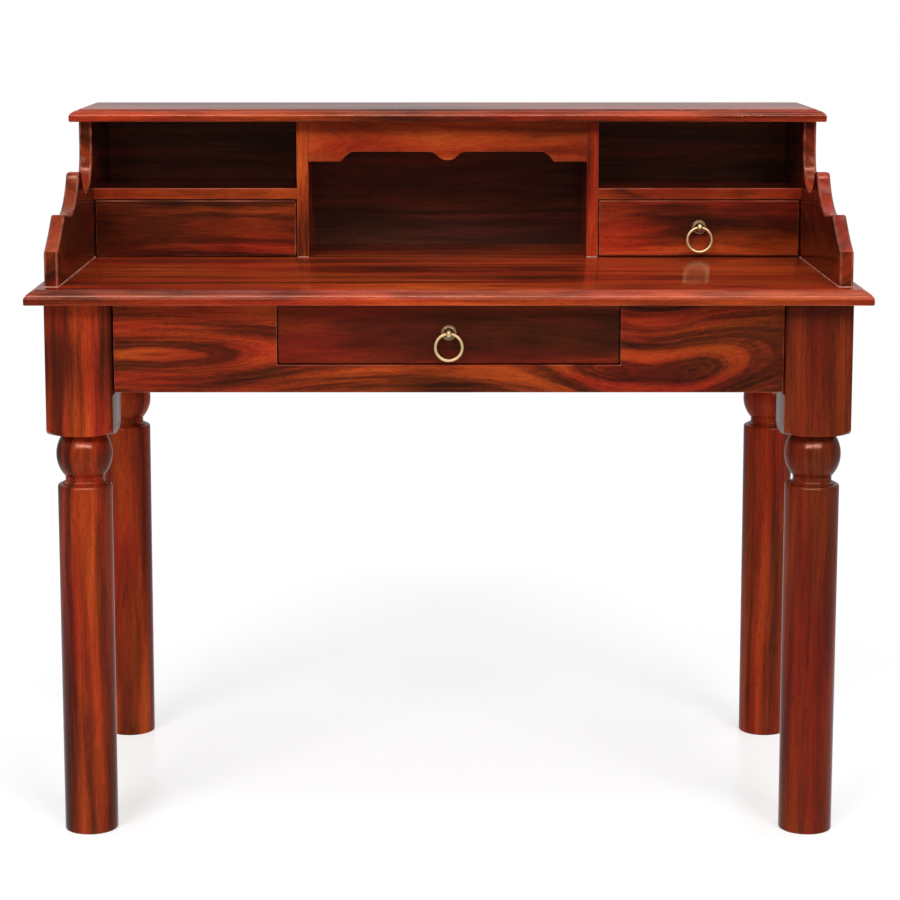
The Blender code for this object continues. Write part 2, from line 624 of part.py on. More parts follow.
def make_pull(name, slide, front, brass):
    """Rosette, post with an eye, ring and nut, on the middle of a drawer front."""
    centre = place_of(slide) + Vector((0.0, 0.0, PULL_RISE))
    outwards = Matrix.Rotation(math.pi / 2, 3, "X")  # turned shapes point their +Z out of the drawer
    bore = SHANK_RADIUS + FIT
    through = Vector((0.0, FRONT_THICKNESS + OVERRUN, 0.0))
    cut_hole(front, bore, centre - Vector((0.0, OVERRUN, 0.0)), centre + through, BOLT_SIDES)

    rim, dome, chamfer = ROSETTE_DIAMETER / 2, ROSETTE_DOME_DIAMETER / 2, ROSETTE_RIM / 2
    dome_rise = ROSETTE_THICKNESS - ROSETTE_RIM
    flange = [(bore, 0.0), (rim, 0.0), (rim, chamfer), (rim - chamfer, ROSETTE_RIM), (dome, ROSETTE_RIM)]
    top = POST_NECK_RADIUS + FIT
    crown = arc((top, ROSETTE_RIM), (dome - top, dome_rise), ROSETTE_DOME_START, 90, ROUND_STEPS)
    shape = turned([*flange, *crown, (bore, ROSETTE_THICKNESS)], ROSETTE_SIDES, closed=True)
    bmesh.ops.rotate(shape, matrix=outwards, verts=shape.verts)
    add(f"{name}_rosette", shape, brass, centre - Vector((0.0, FIT, 0.0)), slide, smooth=True)

    seat = ROSETTE_THICKNESS + 2 * FIT
    tail = -FRONT_THICKNESS - FIT - PULL_NUT_THICKNESS - SHANK_PROUD
    height, depth = POST_HEAD_HEIGHT / 2, POST_HEAD_DEPTH / 2
    neck_angle = -math.degrees(math.acos(POST_NECK_RADIUS / height))
    head = arc((0.0, PULL_STANDOFF), (height, depth), neck_angle, 90, BALL_STEPS)[:-1]
    stem = [(0.0, tail), (SHANK_RADIUS, tail), (SHANK_RADIUS, seat), (POST_NECK_RADIUS, seat)]
    shape = turned([*stem, *head, (0.0, PULL_STANDOFF + depth)], POST_SIDES)
    for vert in shape.verts:
        if vert.co.z > seat + FIT:
            vert.co.x *= POST_HEAD_WIDTH / POST_HEAD_HEIGHT
    bmesh.ops.rotate(shape, matrix=outwards, verts=shape.verts)
    post = add(f"{name}_post", shape, brass, centre, slide, smooth=True)
    pivot_place = centre - Vector((0.0, PULL_STANDOFF, 0.0))
    across = Vector((POST_HEAD_WIDTH / 2 + OVERRUN, 0.0, 0.0))
    cut_hole(post, EYE_RADIUS, pivot_place - across, pivot_place + across, POST_SIDES)

    pivot = empty(f"{name}_pivot", pivot_place, slide)
    add(f"{name}_ring", ring_shape(), brass, pivot_place, pivot, smooth=True)
    seat_inside = centre + Vector((0.0, FRONT_THICKNESS + FIT, 0.0))
    hex_nut(f"{name}_nut", PULL_NUT_FLATS, PULL_NUT_THICKNESS, bore, seat_inside, (0, 1, 0), brass, slide)


def end_outline():
    """The hutch end seen from the side: gallery front, two crests, round notch and upright case front."""
    top = HUTCH_INNER_HEIGHT - FIT
    rear = HUTCH_REAR - GALLERY_FRONT
    front_top = (0.0, GALLERY_FRONT_RISE)
    first = (FIRST_CREST_RUN, FIRST_CREST_RISE)
    valley = (VALLEY_RUN, VALLEY_RISE)
    second = (SECOND_CREST_RUN, SECOND_CREST_RISE)
    notch_middle = (UPRIGHT_RUN - NOTCH_RADIUS, NOTCH_RISE + NOTCH_RADIUS)
    drop = (notch_middle[1] - SECOND_CREST_RISE) / NOTCH_RADIUS
    notch_start = 180 + math.degrees(math.asin(drop))
    notch = arc(notch_middle, (NOTCH_RADIUS, NOTCH_RADIUS), notch_start, 360, NOTCH_STEPS)
    slope = bowed(front_top, first, -SLOPE_HOLLOW, ARC_STEPS)
    cove = bowed(valley, second, -COVE_HOLLOW, ARC_STEPS)
    points = [(0.0, FIT), front_top, *slope]
    points += rounded_corner(slope[-1], first, valley, CREST_ROUND)
    points += [valley, *cove]
    points += rounded_corner(cove[-1], second, notch[0], CREST_ROUND)
    points += rounded_corner(second, notch[0], notch[1], CREST_ROUND)
    points += notch[1:]
    points += [(UPRIGHT_RUN, top), (rear, top), (rear, FIT)]
    return [(GALLERY_FRONT + run, DESK_HEIGHT + rise) for run, rise in points]


def make_ends(wood):
    """Hutch ends, rounded along the scalloped edge, with a shelf dado and a rabbet for the back panel."""
    outline = end_outline()
    for hand, side in (("left", -1), ("right", 1)):
        faces = sorted([side * HUTCH_HALF, side * HUTCH_INSIDE])
        shape = extrusion(outline, faces[0], faces[1], "X")
        caps = [face for face in shape.faces if abs(face.normal.x) > 0.9]
        rim = {edge for face in caps for edge in face.edges}
        shown = [edge for edge in rim if max(v.co.z for v in edge.verts) > DESK_HEIGHT + 2 * FIT]
        shown = [edge for edge in shown if max(v.co.y for v in edge.verts) < UPRIGHT_FRONT + FIT]
        ease_edges(shape, END_ROUND, 2, shown)
        end = add(f"hutch_end_{hand}", shape, wood, (0.0, 0.0, 0.0))
        dado = sorted([side * (HUTCH_INSIDE - OVERRUN), side * (HUTCH_INSIDE + SHELF_DADO)])
        low = (dado[0], SHELF_FRONT - FIT, SHELF_BOTTOM - FIT)
        cut_box(end, low, (dado[1], HUTCH_REAR + OVERRUN, SHELF_BOTTOM + SHELF_THICKNESS + FIT))
        rabbet = sorted([side * (HUTCH_INSIDE - OVERRUN), side * (HUTCH_INSIDE + BACK_PANEL_RABBET)])
        low = (rabbet[0], PANEL_FACE - FIT, DESK_HEIGHT - OVERRUN)
        cut_box(end, low, (rabbet[1], HUTCH_REAR + OVERRUN, HUTCH_UNDERSIDE + OVERRUN))


def make_case(wood, backing):
    """Dividers, shelves, back panel and top of the hutch."""
    bottom, top = DESK_HEIGHT + FIT, HUTCH_UNDERSIDE - FIT
    rear = PANEL_FACE - FIT
    for hand, side in (("left", -1), ("right", 1)):
        faces = sorted([side * DIVIDER_IN, side * DIVIDER_OUT])
        low = (faces[0], DIVIDER_FRONT, bottom)
        divider = board(f"hutch_divider_{hand}", low, (faces[1], rear, top), wood)
        dado = sorted([side * (DIVIDER_OUT - SHELF_DADO), side * (DIVIDER_OUT + OVERRUN)])
        low = (dado[0], SHELF_FRONT - FIT, SHELF_BOTTOM - FIT)
        cut_box(divider, low, (dado[1], rear + OVERRUN, SHELF_BOTTOM + SHELF_THICKNESS + FIT))
        ends = sorted([side * (DIVIDER_OUT - SHELF_DADO + FIT), side * (HUTCH_INSIDE + SHELF_DADO - FIT)])
        low = (ends[0], SHELF_FRONT, SHELF_BOTTOM)
        board(f"hutch_shelf_{hand}", low, (ends[1], rear, SHELF_BOTTOM + SHELF_THICKNESS), wood)
    reach = HUTCH_INSIDE + BACK_PANEL_RABBET - FIT
    shape, middle = block((-reach, PANEL_FACE, bottom), (reach, HUTCH_REAR, top))
    add("hutch_back_panel", shape, backing, middle)
    moulded_top(
        "hutch_top",
        HUTCH_HALF + HUTCH_TOP_SIDE_OVERHANG,
        UPRIGHT_FRONT - HUTCH_TOP_FRONT_OVERHANG,
        HUTCH_REAR,
        HUTCH_UNDERSIDE + HUTCH_TOP_THICKNESS,
        HUTCH_TOP_THICKNESS,
        wood,
    )


def make_valance(wood):
    """The board over the middle bay, with an ear at each end and a rounded drop in its middle."""
    top = HUTCH_UNDERSIDE - FIT
    reach = DIVIDER_IN - FIT
    ear = (VALANCE_EAR_OUT, HUTCH_UNDERSIDE - VALANCE_END_DROP)
    shoulder = (VALANCE_EAR_IN, HUTCH_UNDERSIDE - VALANCE_FLAT_DROP)
    drop = VALANCE_TIP_DROP - VALANCE_FLAT_DROP
    hollow = (VALANCE_TIP_HALF, HUTCH_UNDERSIDE - VALANCE_FLAT_DROP)
    turn = (VALANCE_TIP_HALF / 2, hollow[1] - drop / 2)
    tip = (0.0, hollow[1] - drop)
    half = [(reach, top), (reach, ear[1]), ear, *bowed(ear, shoulder, -VALANCE_BOW, ROUND_STEPS), shoulder]
    half += [hollow, *bowed(hollow, turn, -VALANCE_BOW, ROUND_STEPS), turn]
    half += bowed(turn, tip, VALANCE_BOW, ROUND_STEPS)
    outline = [*half, tip, *[(-x, z) for x, z in reversed(half)]]
    face = DIVIDER_FRONT + VALANCE_SETBACK
    shape = extrusion(outline, face, face + VALANCE_THICKNESS, "Y")
    add("hutch_valance", shape, wood, (0.0, 0.0, 0.0))


def make_hutch_drawers(wood, lining, brass):
    """Two drawers that slide on the writing surface; only the right one has a pull."""
    width = HUTCH_INSIDE - DIVIDER_OUT - 2 * REVEAL
    height = SHELF_CLEAR - 2 * REVEAL
    middle = (HUTCH_INSIDE + DIVIDER_OUT) / 2
    length = PANEL_FACE - FIT - SHELF_FRONT
    bottom = DESK_HEIGHT + REVEAL
    box = (SHELF_FRONT, bottom, DESK_HEIGHT + FIT, width, height, length, HUTCH_SIDE_HEIGHT, wood, lining)
    make_drawer("left_drawer", -middle, *box)
    slide, front = make_drawer("right_drawer", middle, *box)
    make_pull("right_pull", slide, front, brass)


def make_middle_drawer(wood, lining, brass):
    bottom = OPENING_BOTTOM + REVEAL
    size = (MIDDLE_FRONT_WIDTH, MIDDLE_FRONT_HEIGHT, MIDDLE_LENGTH, MIDDLE_SIDE_HEIGHT)
    places = (FRONT_APRON_FACE, bottom, MIDDLE_BOX_BOTTOM)
    slide, front = make_drawer("middle_drawer", 0.0, *places, *size, wood, lining)
    make_pull("middle_pull", slide, front, brass)


def main():
    clear_scene()
    wood = finish("polished_rosewood", (0.20, 0.035, 0.012), 0.22)
    backing = finish("dark_back_panel", (0.05, 0.012, 0.006), 0.45)
    lining = finish("drawer_lining_wood", (0.30, 0.14, 0.06), 0.55)
    brass = finish("antique_brass", (0.58, 0.40, 0.20), 0.30, 1.0)
    steel = finish("zinc_plated_steel", (0.55, 0.55, 0.56), 0.35, 1.0)
    moulded_top("desk_top", TOP_WIDTH / 2, TOP_FRONT, TOP_BACK, DESK_HEIGHT, TOP_THICKNESS, wood)
    make_legs(wood, steel)
    make_aprons(wood)
    make_runners(lining)
    make_middle_drawer(wood, lining, brass)
    make_ends(wood)
    make_case(wood, backing)
    make_valance(wood)
    make_hutch_drawers(wood, lining, brass)


if __name__ == "__main__":
    main()
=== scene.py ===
"""Writing desk with a drawer hutch: polished rosewood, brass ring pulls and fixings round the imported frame.

Metres, +Z up, front towards -Y. The frame from MuJoCo stays as it is, and every piece here rides on one of its
bodies.
"""

import json
import math
import zlib
from collections import namedtuple
from functools import partial

import bmesh
import bpy
from bpy.props import FloatProperty, FloatVectorProperty, IntProperty, PointerProperty
from mathutils import Matrix, Vector

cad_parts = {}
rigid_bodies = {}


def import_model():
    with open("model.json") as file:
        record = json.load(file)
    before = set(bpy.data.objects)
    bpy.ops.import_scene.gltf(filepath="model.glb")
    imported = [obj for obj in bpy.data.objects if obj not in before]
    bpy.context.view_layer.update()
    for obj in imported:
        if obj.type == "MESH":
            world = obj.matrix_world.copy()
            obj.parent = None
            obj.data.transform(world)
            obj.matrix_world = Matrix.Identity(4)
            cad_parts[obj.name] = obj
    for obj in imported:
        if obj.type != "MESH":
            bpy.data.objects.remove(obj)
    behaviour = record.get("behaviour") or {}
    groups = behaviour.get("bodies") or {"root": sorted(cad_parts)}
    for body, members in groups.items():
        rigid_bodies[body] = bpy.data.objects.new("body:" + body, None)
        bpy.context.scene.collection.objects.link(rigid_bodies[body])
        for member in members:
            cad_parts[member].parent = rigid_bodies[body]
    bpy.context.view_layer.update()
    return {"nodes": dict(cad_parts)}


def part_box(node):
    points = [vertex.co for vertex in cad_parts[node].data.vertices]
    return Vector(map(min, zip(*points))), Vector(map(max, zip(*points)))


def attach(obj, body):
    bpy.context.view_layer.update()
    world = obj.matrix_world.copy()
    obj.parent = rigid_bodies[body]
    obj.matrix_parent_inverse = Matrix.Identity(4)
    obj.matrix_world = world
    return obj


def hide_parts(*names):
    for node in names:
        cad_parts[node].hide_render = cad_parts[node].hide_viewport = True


bl_info = {
    "name": "Writing Desk Finisher",
    "version": (1, 0, 0),
    "blender": (4, 5, 0),
    "location": "View3D > Sidebar > Desk",
    "description": "Finishes the frame of a writing desk in rosewood and brass",
    "category": "Object",
}

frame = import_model()
AXES = "XYZ"
HANDS = {"left": -1, "right": 1}
CORNERS = ("front_left", "front_right", "back_left", "back_right")
OUT, BACK, DOWN, ACROSS = (0.0, -1.0, 0.0), (0.0, 1.0, 0.0), (0.0, 0.0, -1.0), (1.0, 0.0, 0.0)
SMOOTH_BELOW = math.radians(32)
HAIR = 0.0002  # what a piece keeps clear of its neighbour
GAP = 0.0003  # what the CAD leaves between a pull and the drawer
CLEAR = 0.01  # how far a cutter stands past what it cuts
# Faces that lean within these slants get the worn colour, which is partly painted sheen; narrower faces can be
# painted paler as sheen
WORN_AND_SHEEN_SLANTS = (0.15, 0.96)  # a rubbed edge leans to the face of its board by no less and no more than this
STAVE_SHIFT = 1.7  # how far along the log the next stave was sawn
BAND_CUTS = 0.4  # spacing of the cuts that carry a soft band, as a share of its reach

# What a board's mesh carries for its material. All are made before any is filled, as a new one moves the rest
WOOD_VALUES = {
    "grain": ("FLOAT_VECTOR", "CORNER"),
    "tone": ("FLOAT", "CORNER"),
    "edge": ("FLOAT", "FACE"),
    "polish": ("FLOAT", "FACE"),
    "life": ("FLOAT", "POINT"),
}

# Scalloped edge of the hutch ends: runs behind the gallery front and rises above the desk top
GALLERY_RISE = 0.047
FIRST_CREST = (0.074, 0.090)
VALLEY = (0.140, 0.083)
SECOND_CREST = (0.226, 0.136)
NOTCH_RADIUS = 0.063
NOTCH_RISE = 0.102
UPRIGHT_RUN = 0.364
SLOPE_HOLLOW = 0.0025
COVE_HOLLOW = 0.011
CREST_ROUND = 0.008
SHELF_DADO = 0.005
PANEL_RABBET = 0.009

# Leg turning
BLOCK_HEIGHT = 0.181
POMMEL_RISE = 0.016
BALL = (0.0763, 0.084)  # diameter and height of the whole oval
BALL_TOP_DIAMETER = 0.0535
NECK_DIAMETER = 0.0525
NECK_HEIGHT = 0.005
LIP_DIAMETER = 0.060
LIP_HEIGHT = 0.002
SHOULDER_ROUND = 0.004
SHAFT_DIAMETER = 0.074
FOOT_DIAMETER = 0.073
FOOT_CHAMFER = 0.002
BLANK_PAST = 0.006  # how far the turning stands past the square block

# Valance: drops under the hutch top and offsets from its middle
VALANCE_DROPS = (0.0595, 0.045, 0.0575)  # ear, flat and middle tip
VALANCE_EAR = (0.1565, 0.141)  # foot and shoulder of the ear
VALANCE_TIP_HALF = 0.029
VALANCE_BOW = 0.0018
VALANCE_EDGE = 0.0006

# Ring pulls
STANDOFF = 0.0105
ROSETTE_DIAMETER = 0.0206
ROSETTE_THICKNESS = 0.0034
ROSETTE_RIM = 0.0006  # rounding of the rim
ROSETTE_FLAT = 0.0010  # height inside the rim
ROSETTE_GROOVE = (0.0016, 0.0024)  # from the rim to its two banks
ROSETTE_BEAD = 0.0033  # from the rim to the middle of the bead
BEAD_RADII = (0.0009, 0.0011)
BOSS_PAST = (0.0008, 0.0004)  # how far the boss stands past the neck, at its foot and its top
PATINA_FROM = 0.0042  # from the rim to the patina
POST_NECK_RADIUS = 0.0032
POST_HEAD = (0.0090, 0.0116, 0.0112)  # width, height and depth of the head with the eye
COLLAR_RADII = (0.0009, 0.0005)
COLLAR_INSET = 0.0004
SHANK_RADIUS = 0.002
EYE_RADIUS = 0.0030

# Fixings
BOLT_RADIUS = 0.004
THREAD_DEPTH = 0.0005
LEG_NUT = (0.013, 0.0065)  # across the flats, and thickness
NUT_CHAMFER = (0.55, 1.6)  # its drop as a share of the corner past the flats, and its run for each drop
SCREW_RISE = 0.0012
SCREW_SLOT = 0.0009
SCREW_TOP = 0.62  # flat of a screw head, as a share of its width
SLOT_REACH = 1.6  # length of a slot for each radius of that flat
SLOT_LIFT = 0.75  # middle of the slot's cutter, as a share of the head's rise
PANEL_SCREWS = 7  # along each long edge
PANEL_SCREW_INSETS = (0.03, 0.012)  # from the ends and from the long edges of the back panel
BLOCK_SCREW_OFFSET = 0.055
RUNNER_SCREW_INSET = 0.008
RUNNER_SCREWS = (0.1, 0.5, 0.9)  # places along a runner, as shares of its length
BEAD_STEP = 0.002
BEAD_LUMPS = 70.0  # in a metre

# Patterns of the finishes in millimetres: along the grain, then across it or from ring to ring
WANDERS = (((454.545, 100.0), 0.010), ((83.333, 22.222), 0.003))  # and how many metres they shift the rings
RINGS = (500.0, 20.0)
RING_LINES = (333.333, 2.32558)
VEINS = (2000.0, 10.5263)
MOTTLE = (83.3333, 14.2857)
FIBRES = (38.4615, 3.33333)
LEAN = (400.0, 55.5556)
PORES = (11.1111, 0.76923)  # about three times as wide as real ones, so that they show
LINING_STREAKS = (454.545, 26.3158)
LINING_PORES = (14.2857, 1.11111)  # coarser than real ones too
BRASS_PATCHES = 5.55556
CASTING_MARKS = 1.42857
ZINC_MOTTLE = 2.5
FILLER_PATCHES = (3.33333, 16.6667)  # upright, then level
SMOOTH = {"interpolation_type": "SMOOTHSTEP"}

# Stage
FLOOR_HALF = 9.0
FLOOR_FADE = (0.9, 2.6)  # where the floor turns to plain white, from the middle of the desk
FLOOR_GLOW = 0.38
FLOOR_LIFT = 1.40
FLOOR_BEHIND = (-1.0, 1.5)  # where mirrors begin to see a greyer floor, and where it is greyest
AMBIENT = 0.42
HORIZON = 0.45  # of the white that mirrors show low down
HORIZON_RISE = (0.05, 0.45)  # where that white begins to clear, and where it is clear
CAMERA_PLACE = (-0.0176, -3.68, 1.1691)
CAMERA_DIP = math.radians(8.46)
CAMERA_LENS = 102.78
CAMERA_SHIFT = (0.016, -0.100)

Lamp = namedtuple("Lamp", "place target size power")
LAMPS = {
    "left_softbox": Lamp((-3.6, -7.0, 5.6), (0.0, 0.0, 0.75), (3.6, 2.4), 405.0),
    "right_softbox": Lamp((3.6, -7.0, 5.6), (0.0, 0.0, 0.75), (3.6, 2.4), 370.0),
    "top_strip": Lamp((0.2, -0.45, 3.2), (0.0, -0.1, 0.8), (2.8, 0.5), 42.0),
    "low_gloss_strip": Lamp((0.0, -4.2, 2.8), (0.0, -0.27, 0.55), (5.6, 0.7), 910.0),
    "high_gloss_strip": Lamp((0.0, -1.35, 3.4), (0.0, -0.27, 0.55), (5.0, 0.35), 320.0),
}
# Strips seen only in the lacquer, as pale lines along whatever is rounded, and the pieces they leave out
GLOSS_STRIPS = {
    "low_gloss_strip": ("_pull_", "hutch_end_left_finished", "hutch_end_right_finished"),
    "high_gloss_strip": ("_pull_",),
}


def linear(hex_colour):
    """Linear RGB of an sRGB colour such as #7A2414."""
    parts = [int(hex_colour[place:place + 2], 16) / 255 for place in (1, 3, 5)]
    return tuple(p / 12.92 if p <= 0.04045 else ((p + 0.055) / 1.055) ** 2.4 for p in parts)


WHITE = linear("#FFFFFF")
FLOOR_WHITE = linear("#EFEFEF")


def length(label, description, default):
    shown = {"min": 0.0, "precision": 4, "unit": "LENGTH"}
    return FloatProperty(name=label, description=description, default=default, **shown)


def colour(label, description, hex_colour):
    default = linear(hex_colour)
    return FloatVectorProperty(name=label, description=description, default=default, size=3, subtype="COLOR")


class DeskSizes(bpy.types.PropertyGroup):
    """Sizes of the finish that the frame doesn't fix."""

    leg_edge: length("Leg edge", "Rounding of the upright edges of a leg block", 0.003)
    scallop_edge: length("Scallop edge", "Rounding along the scalloped edge of a hutch end", 0.0032)
    mould_run: length("Moulding run", "How far the edge moulding comes in from the edge of a top", 0.013)
    mould_step: length("Moulding step", "Small step under the flat of a top", 0.0015)
    mould_bulge: length("Moulding bulge", "How far the sloping round stands out from a chamfer", 0.0016)
    flat_edge: length("Flat edge", "Rounding along the front edge of the flat of a top", 0.0012)
    nose_height: length("Nose height", "Upright nose under the moulding's slope", 0.0090)
    nose_edge: length("Nose edge", "Rounding between the moulding's slope and its nose", 0.0020)
    nose_round: length("Nose round", "Rounding under the nose", 0.0024)
    figure_step: length("Figure step", "Spacing of the cuts that carry a board's figure", 0.014)
    bead_radius: length("Filler bead", "Thickness of the filler squeezed out along a joint", 0.00042)
    ring_radius: length("Ring radius", "Pull ring, to the middle of its wire", 0.018)
    wire_radius: length("Wire radius", "Wire of the pull ring", 0.0021)
    screw_radius: length("Screw radius", "Head of the screws in the back panel and the blocks", 0.0035)
    thread_pitch: length("Thread pitch", "Thread of the leg bolts", 0.00125)
    lathe_sides: IntProperty(name="Lathe sides", description="Facets round a turned leg", default=96, min=12)


class DeskColours(bpy.types.PropertyGroup):
    """Colours of the finishes."""

    streak: colour("Streak", "Darkest streaks of the rosewood", "#260D07")
    heart: colour("Heart", "Dark heartwood", "#4C180B")
    body: colour("Body", "Red-brown body of the rosewood", "#782610")
    glow: colour("Glow", "Orange-brown wood between the streaks", "#993615")
    flame: colour("Flame", "Palest orange flames", "#B04B1F")
    smoke: colour("Smoke", "Dull brown of the back panel", "#371C15")
    ember: colour("Ember", "Redder figure of the back panel", "#58291C")
    # The worn colour is partly painted sheen: on eased edges and moulded slopes it stands in for highlights
    worn_and_sheen: colour("Worn edge", "Edges where the stain is rubbed thin", "#C8745A")
    lining: colour("Lining", "Plain wood of the drawer boxes", "#B58A5E")
    brass: colour("Brass", "Brass of the pulls", "#C6AC80")
    dull_brass: colour("Dull brass", "Brass of the rosettes, which no finger rubs", "#8F775A")
    patina: colour("Patina", "Dark patina round the posts of the pulls", "#33240F")
    tarnish: colour("Tarnish", "Dark brass in the hollows of the pulls", "#6B4A26")
    steel: colour("Steel", "Zinc plated bolts, nuts and screws", "#A9ABAD")
    filler: colour("Filler", "Pale filler along the joints", "#C99C86")
    film: colour("Film", "Warm tint of what the stained lacquer mirrors face on", "#F0B49A")


# A board's wood: its axes along the grain, across and through; how deep the pith lies behind the middle of the
# board; the cores, where the pith comes near; its tone; the width of its glued staves; its soft bands, paler or
# darker, some of which paint shade; how lively its figure is; the place in the log it was sawn from, or 0 for one
# from its name; and how much paler its narrow faces that look up are painted, as painted sheen
PLAIN = (0.055, (), 0.0, 0.0, (), 1.0, 0.0, 0.0)
Wood = namedtuple("Wood", "axes sink cores tone stave bands life log rim", defaults=PLAIN)
Core = namedtuple("Core", "along across reach")
Band = namedtuple("Band", "axis middle reach amount")


def fill(node, inputs):
    """Gives a node's inputs, by name or in order, values or links."""
    for key, value in inputs.items() if isinstance(inputs, dict) else enumerate(inputs):
        socket = node.inputs[key]
        if isinstance(value, bpy.types.NodeSocket):
            node.id_data.links.new(value, socket)
        else:
            socket.default_value = (*value, 1.0) if socket.type == "RGBA" else value


def add(tree, kind, inputs=(), out=0, **settings):
    """Adds a node with its settings, values and links, and gives one of its outputs."""
    node = tree.nodes.new(kind)
    for name, value in settings.items():
        setattr(node, name, value)
    fill(node, inputs)
    return node.outputs[out] if node.outputs else node


def stops(ramp, places, shades):
    """Sets the stops of the colour ramp that a socket comes from."""
    elements = ramp.node.color_ramp.elements
    while len(elements) < len(places):
        elements.new(0.5)
    for element, place, shade in zip(elements, places, shades):
        element.position = place
        element.color = (*shade, 1.0)
    return ramp


def material(name):
    """Makes a material and gives its shader and the function that adds nodes to its tree."""
    made = bpy.data.materials.new(name)
    made.use_nodes = True
    return made.node_tree.nodes["Principled BSDF"], partial(add, made.node_tree)


def per_metre(along, across):
    """How often a pattern of this size in millimetres comes in a metre, along the grain and both ways across."""
    return 1000.0 / along, 1000.0 / across, 1000.0 / across


def figured_wood(name, colours, shades):
    """Wood in five shades: dark streaks that follow the rings of its log, short black pores and a deep gloss."""
    shader, node = material(name)
    grain = node("ShaderNodeAttribute", out="Vector", attribute_name="grain")
    tone, life, edge, polish = (
        node("ShaderNodeAttribute", out="Fac", attribute_name=item) for item in ("tone", "life", "edge", "polish")
    )

    def fibrous(size, detail, roughness=0.5, out="Fac"):
        """A pattern that is drawn out along the grain."""
        place = node("ShaderNodeVectorMath", [grain, per_metre(*size)], operation="MULTIPLY")
        inputs = {"Vector": place, "Scale": 1.0, "Detail": detail, "Roughness": roughness}
        return node("ShaderNodeTexNoise", inputs, out=out)

    # The rings wander, widely and then finely, so that no streak runs straight
    bent = grain
    for size, reach in WANDERS:
        shift = [fibrous(size, 2.0, out="Color"), (0.0, 2 * reach, 2 * reach), (0.0, -reach, -reach)]
        shift = node("ShaderNodeVectorMath", shift, operation="MULTIPLY_ADD")
        bent = node("ShaderNodeVectorMath", [bent, shift], operation="ADD")
    bent = node("ShaderNodeVectorMath", [bent, (0.0, 1.0, 1.0)], operation="MULTIPLY")
    from_pith = node("ShaderNodeVectorMath", [bent], out="Value", operation="LENGTH")
    along = node("ShaderNodeSeparateXYZ", [grain], out="X")

    def ringed(size, detail, roughness=0.5):
        """A pattern that follows the rings."""
        parts = zip((along, from_pith), per_metre(*size))
        place = [node("ShaderNodeMath", part, operation="MULTIPLY") for part in parts]
        place = node("ShaderNodeCombineXYZ", place)
        inputs = {"Vector": place, "Scale": 1.0, "Detail": detail, "Roughness": roughness}
        return node("ShaderNodeTexNoise", inputs)

    figure = node("ShaderNodeMapRange", [ringed(RINGS, 3.0, 0.58), 0.26, 0.74, -0.37, 0.37], **SMOOTH)
    lines, mottle, fibres = ringed(RING_LINES, 2.0), fibrous(MOTTLE, 3.0), fibrous(FIBRES, 3.0, 0.6)
    for layer, reach in ((lines, 0.04), (mottle, 0.05), (fibres, 0.06)):
        layer = node("ShaderNodeMapRange", [layer, 0.3, 0.7, -reach, reach], **SMOOTH)
        figure = node("ShaderNodeMath", [figure, layer], operation="ADD")
    # Veins: thin dark lines that run with the rings and come and go
    veins = node("ShaderNodeMath", [ringed(VEINS, 2.0), 0.5], operation="SUBTRACT")
    veins = node("ShaderNodeMath", [veins], operation="ABSOLUTE")
    veins = node("ShaderNodeMapRange", [veins, 0.0, 0.045, 1.0, 0.0], **SMOOTH)
    patches = node("ShaderNodeMapRange", [mottle, 0.35, 0.60], **SMOOTH)
    veins = node("ShaderNodeMath", [veins, patches], operation="MULTIPLY")
    figure = node("ShaderNodeMath", [veins, -0.09, figure], operation="MULTIPLY_ADD")
    level = node("ShaderNodeMath", [tone, 0.50], operation="ADD")
    figure = node("ShaderNodeMath", [figure, life, level], operation="MULTIPLY_ADD")
    shade = stops(node("ShaderNodeValToRGB", [figure]), (0.02, 0.25, 0.50, 0.75, 0.98), shades)
    # Broad patches lean to red or to orange
    lean = node("ShaderNodeMapRange", [fibrous(LEAN, 2.0), 0.3, 0.7, 0.494, 0.506], **SMOOTH)
    shade = node("ShaderNodeHueSaturation", {"Hue": lean, "Color": shade})
    # Pores: dark dashes a few millimetres long, and edges where the stain is rubbed, their pale colour partly
    # painted sheen
    pores = node("ShaderNodeMapRange", [fibrous(PORES, 1.0), 0.58, 0.70], **SMOOTH)
    dark = node("ShaderNodeMath", [pores, 0.55], operation="MULTIPLY")
    shade = node("ShaderNodeMix", {0: dark, 6: shade, 7: colours.streak}, out=2, data_type="RGBA")
    rubbed_and_sheen = node("ShaderNodeMapRange", [mottle, 0.35, 0.65, 0.08, 0.30], **SMOOTH)
    rubbed_and_sheen = node("ShaderNodeMath", [edge, rubbed_and_sheen], operation="MULTIPLY")
    shade = node("ShaderNodeMix", {0: rubbed_and_sheen, 6: shade, 7: colours.worn_and_sheen}, out=2, data_type="RGBA")
    rough = node("ShaderNodeMapRange", [mottle, 0.2, 0.8, 0.13, 0.20], **SMOOTH)
    height = node("ShaderNodeMath", [pores, -0.3], operation="MULTIPLY")
    height = node("ShaderNodeMath", [lines, 0.5, height], operation="MULTIPLY_ADD")
    normal = node("ShaderNodeBump", {"Height": height, "Strength": 0.04, "Distance": 0.0004})
    fill(shader, {"Base Color": shade, "Roughness": rough, "Normal": normal, "IOR": 1.20})
    fill(shader, {"Specular IOR Level": polish, "Specular Tint": colours.film})


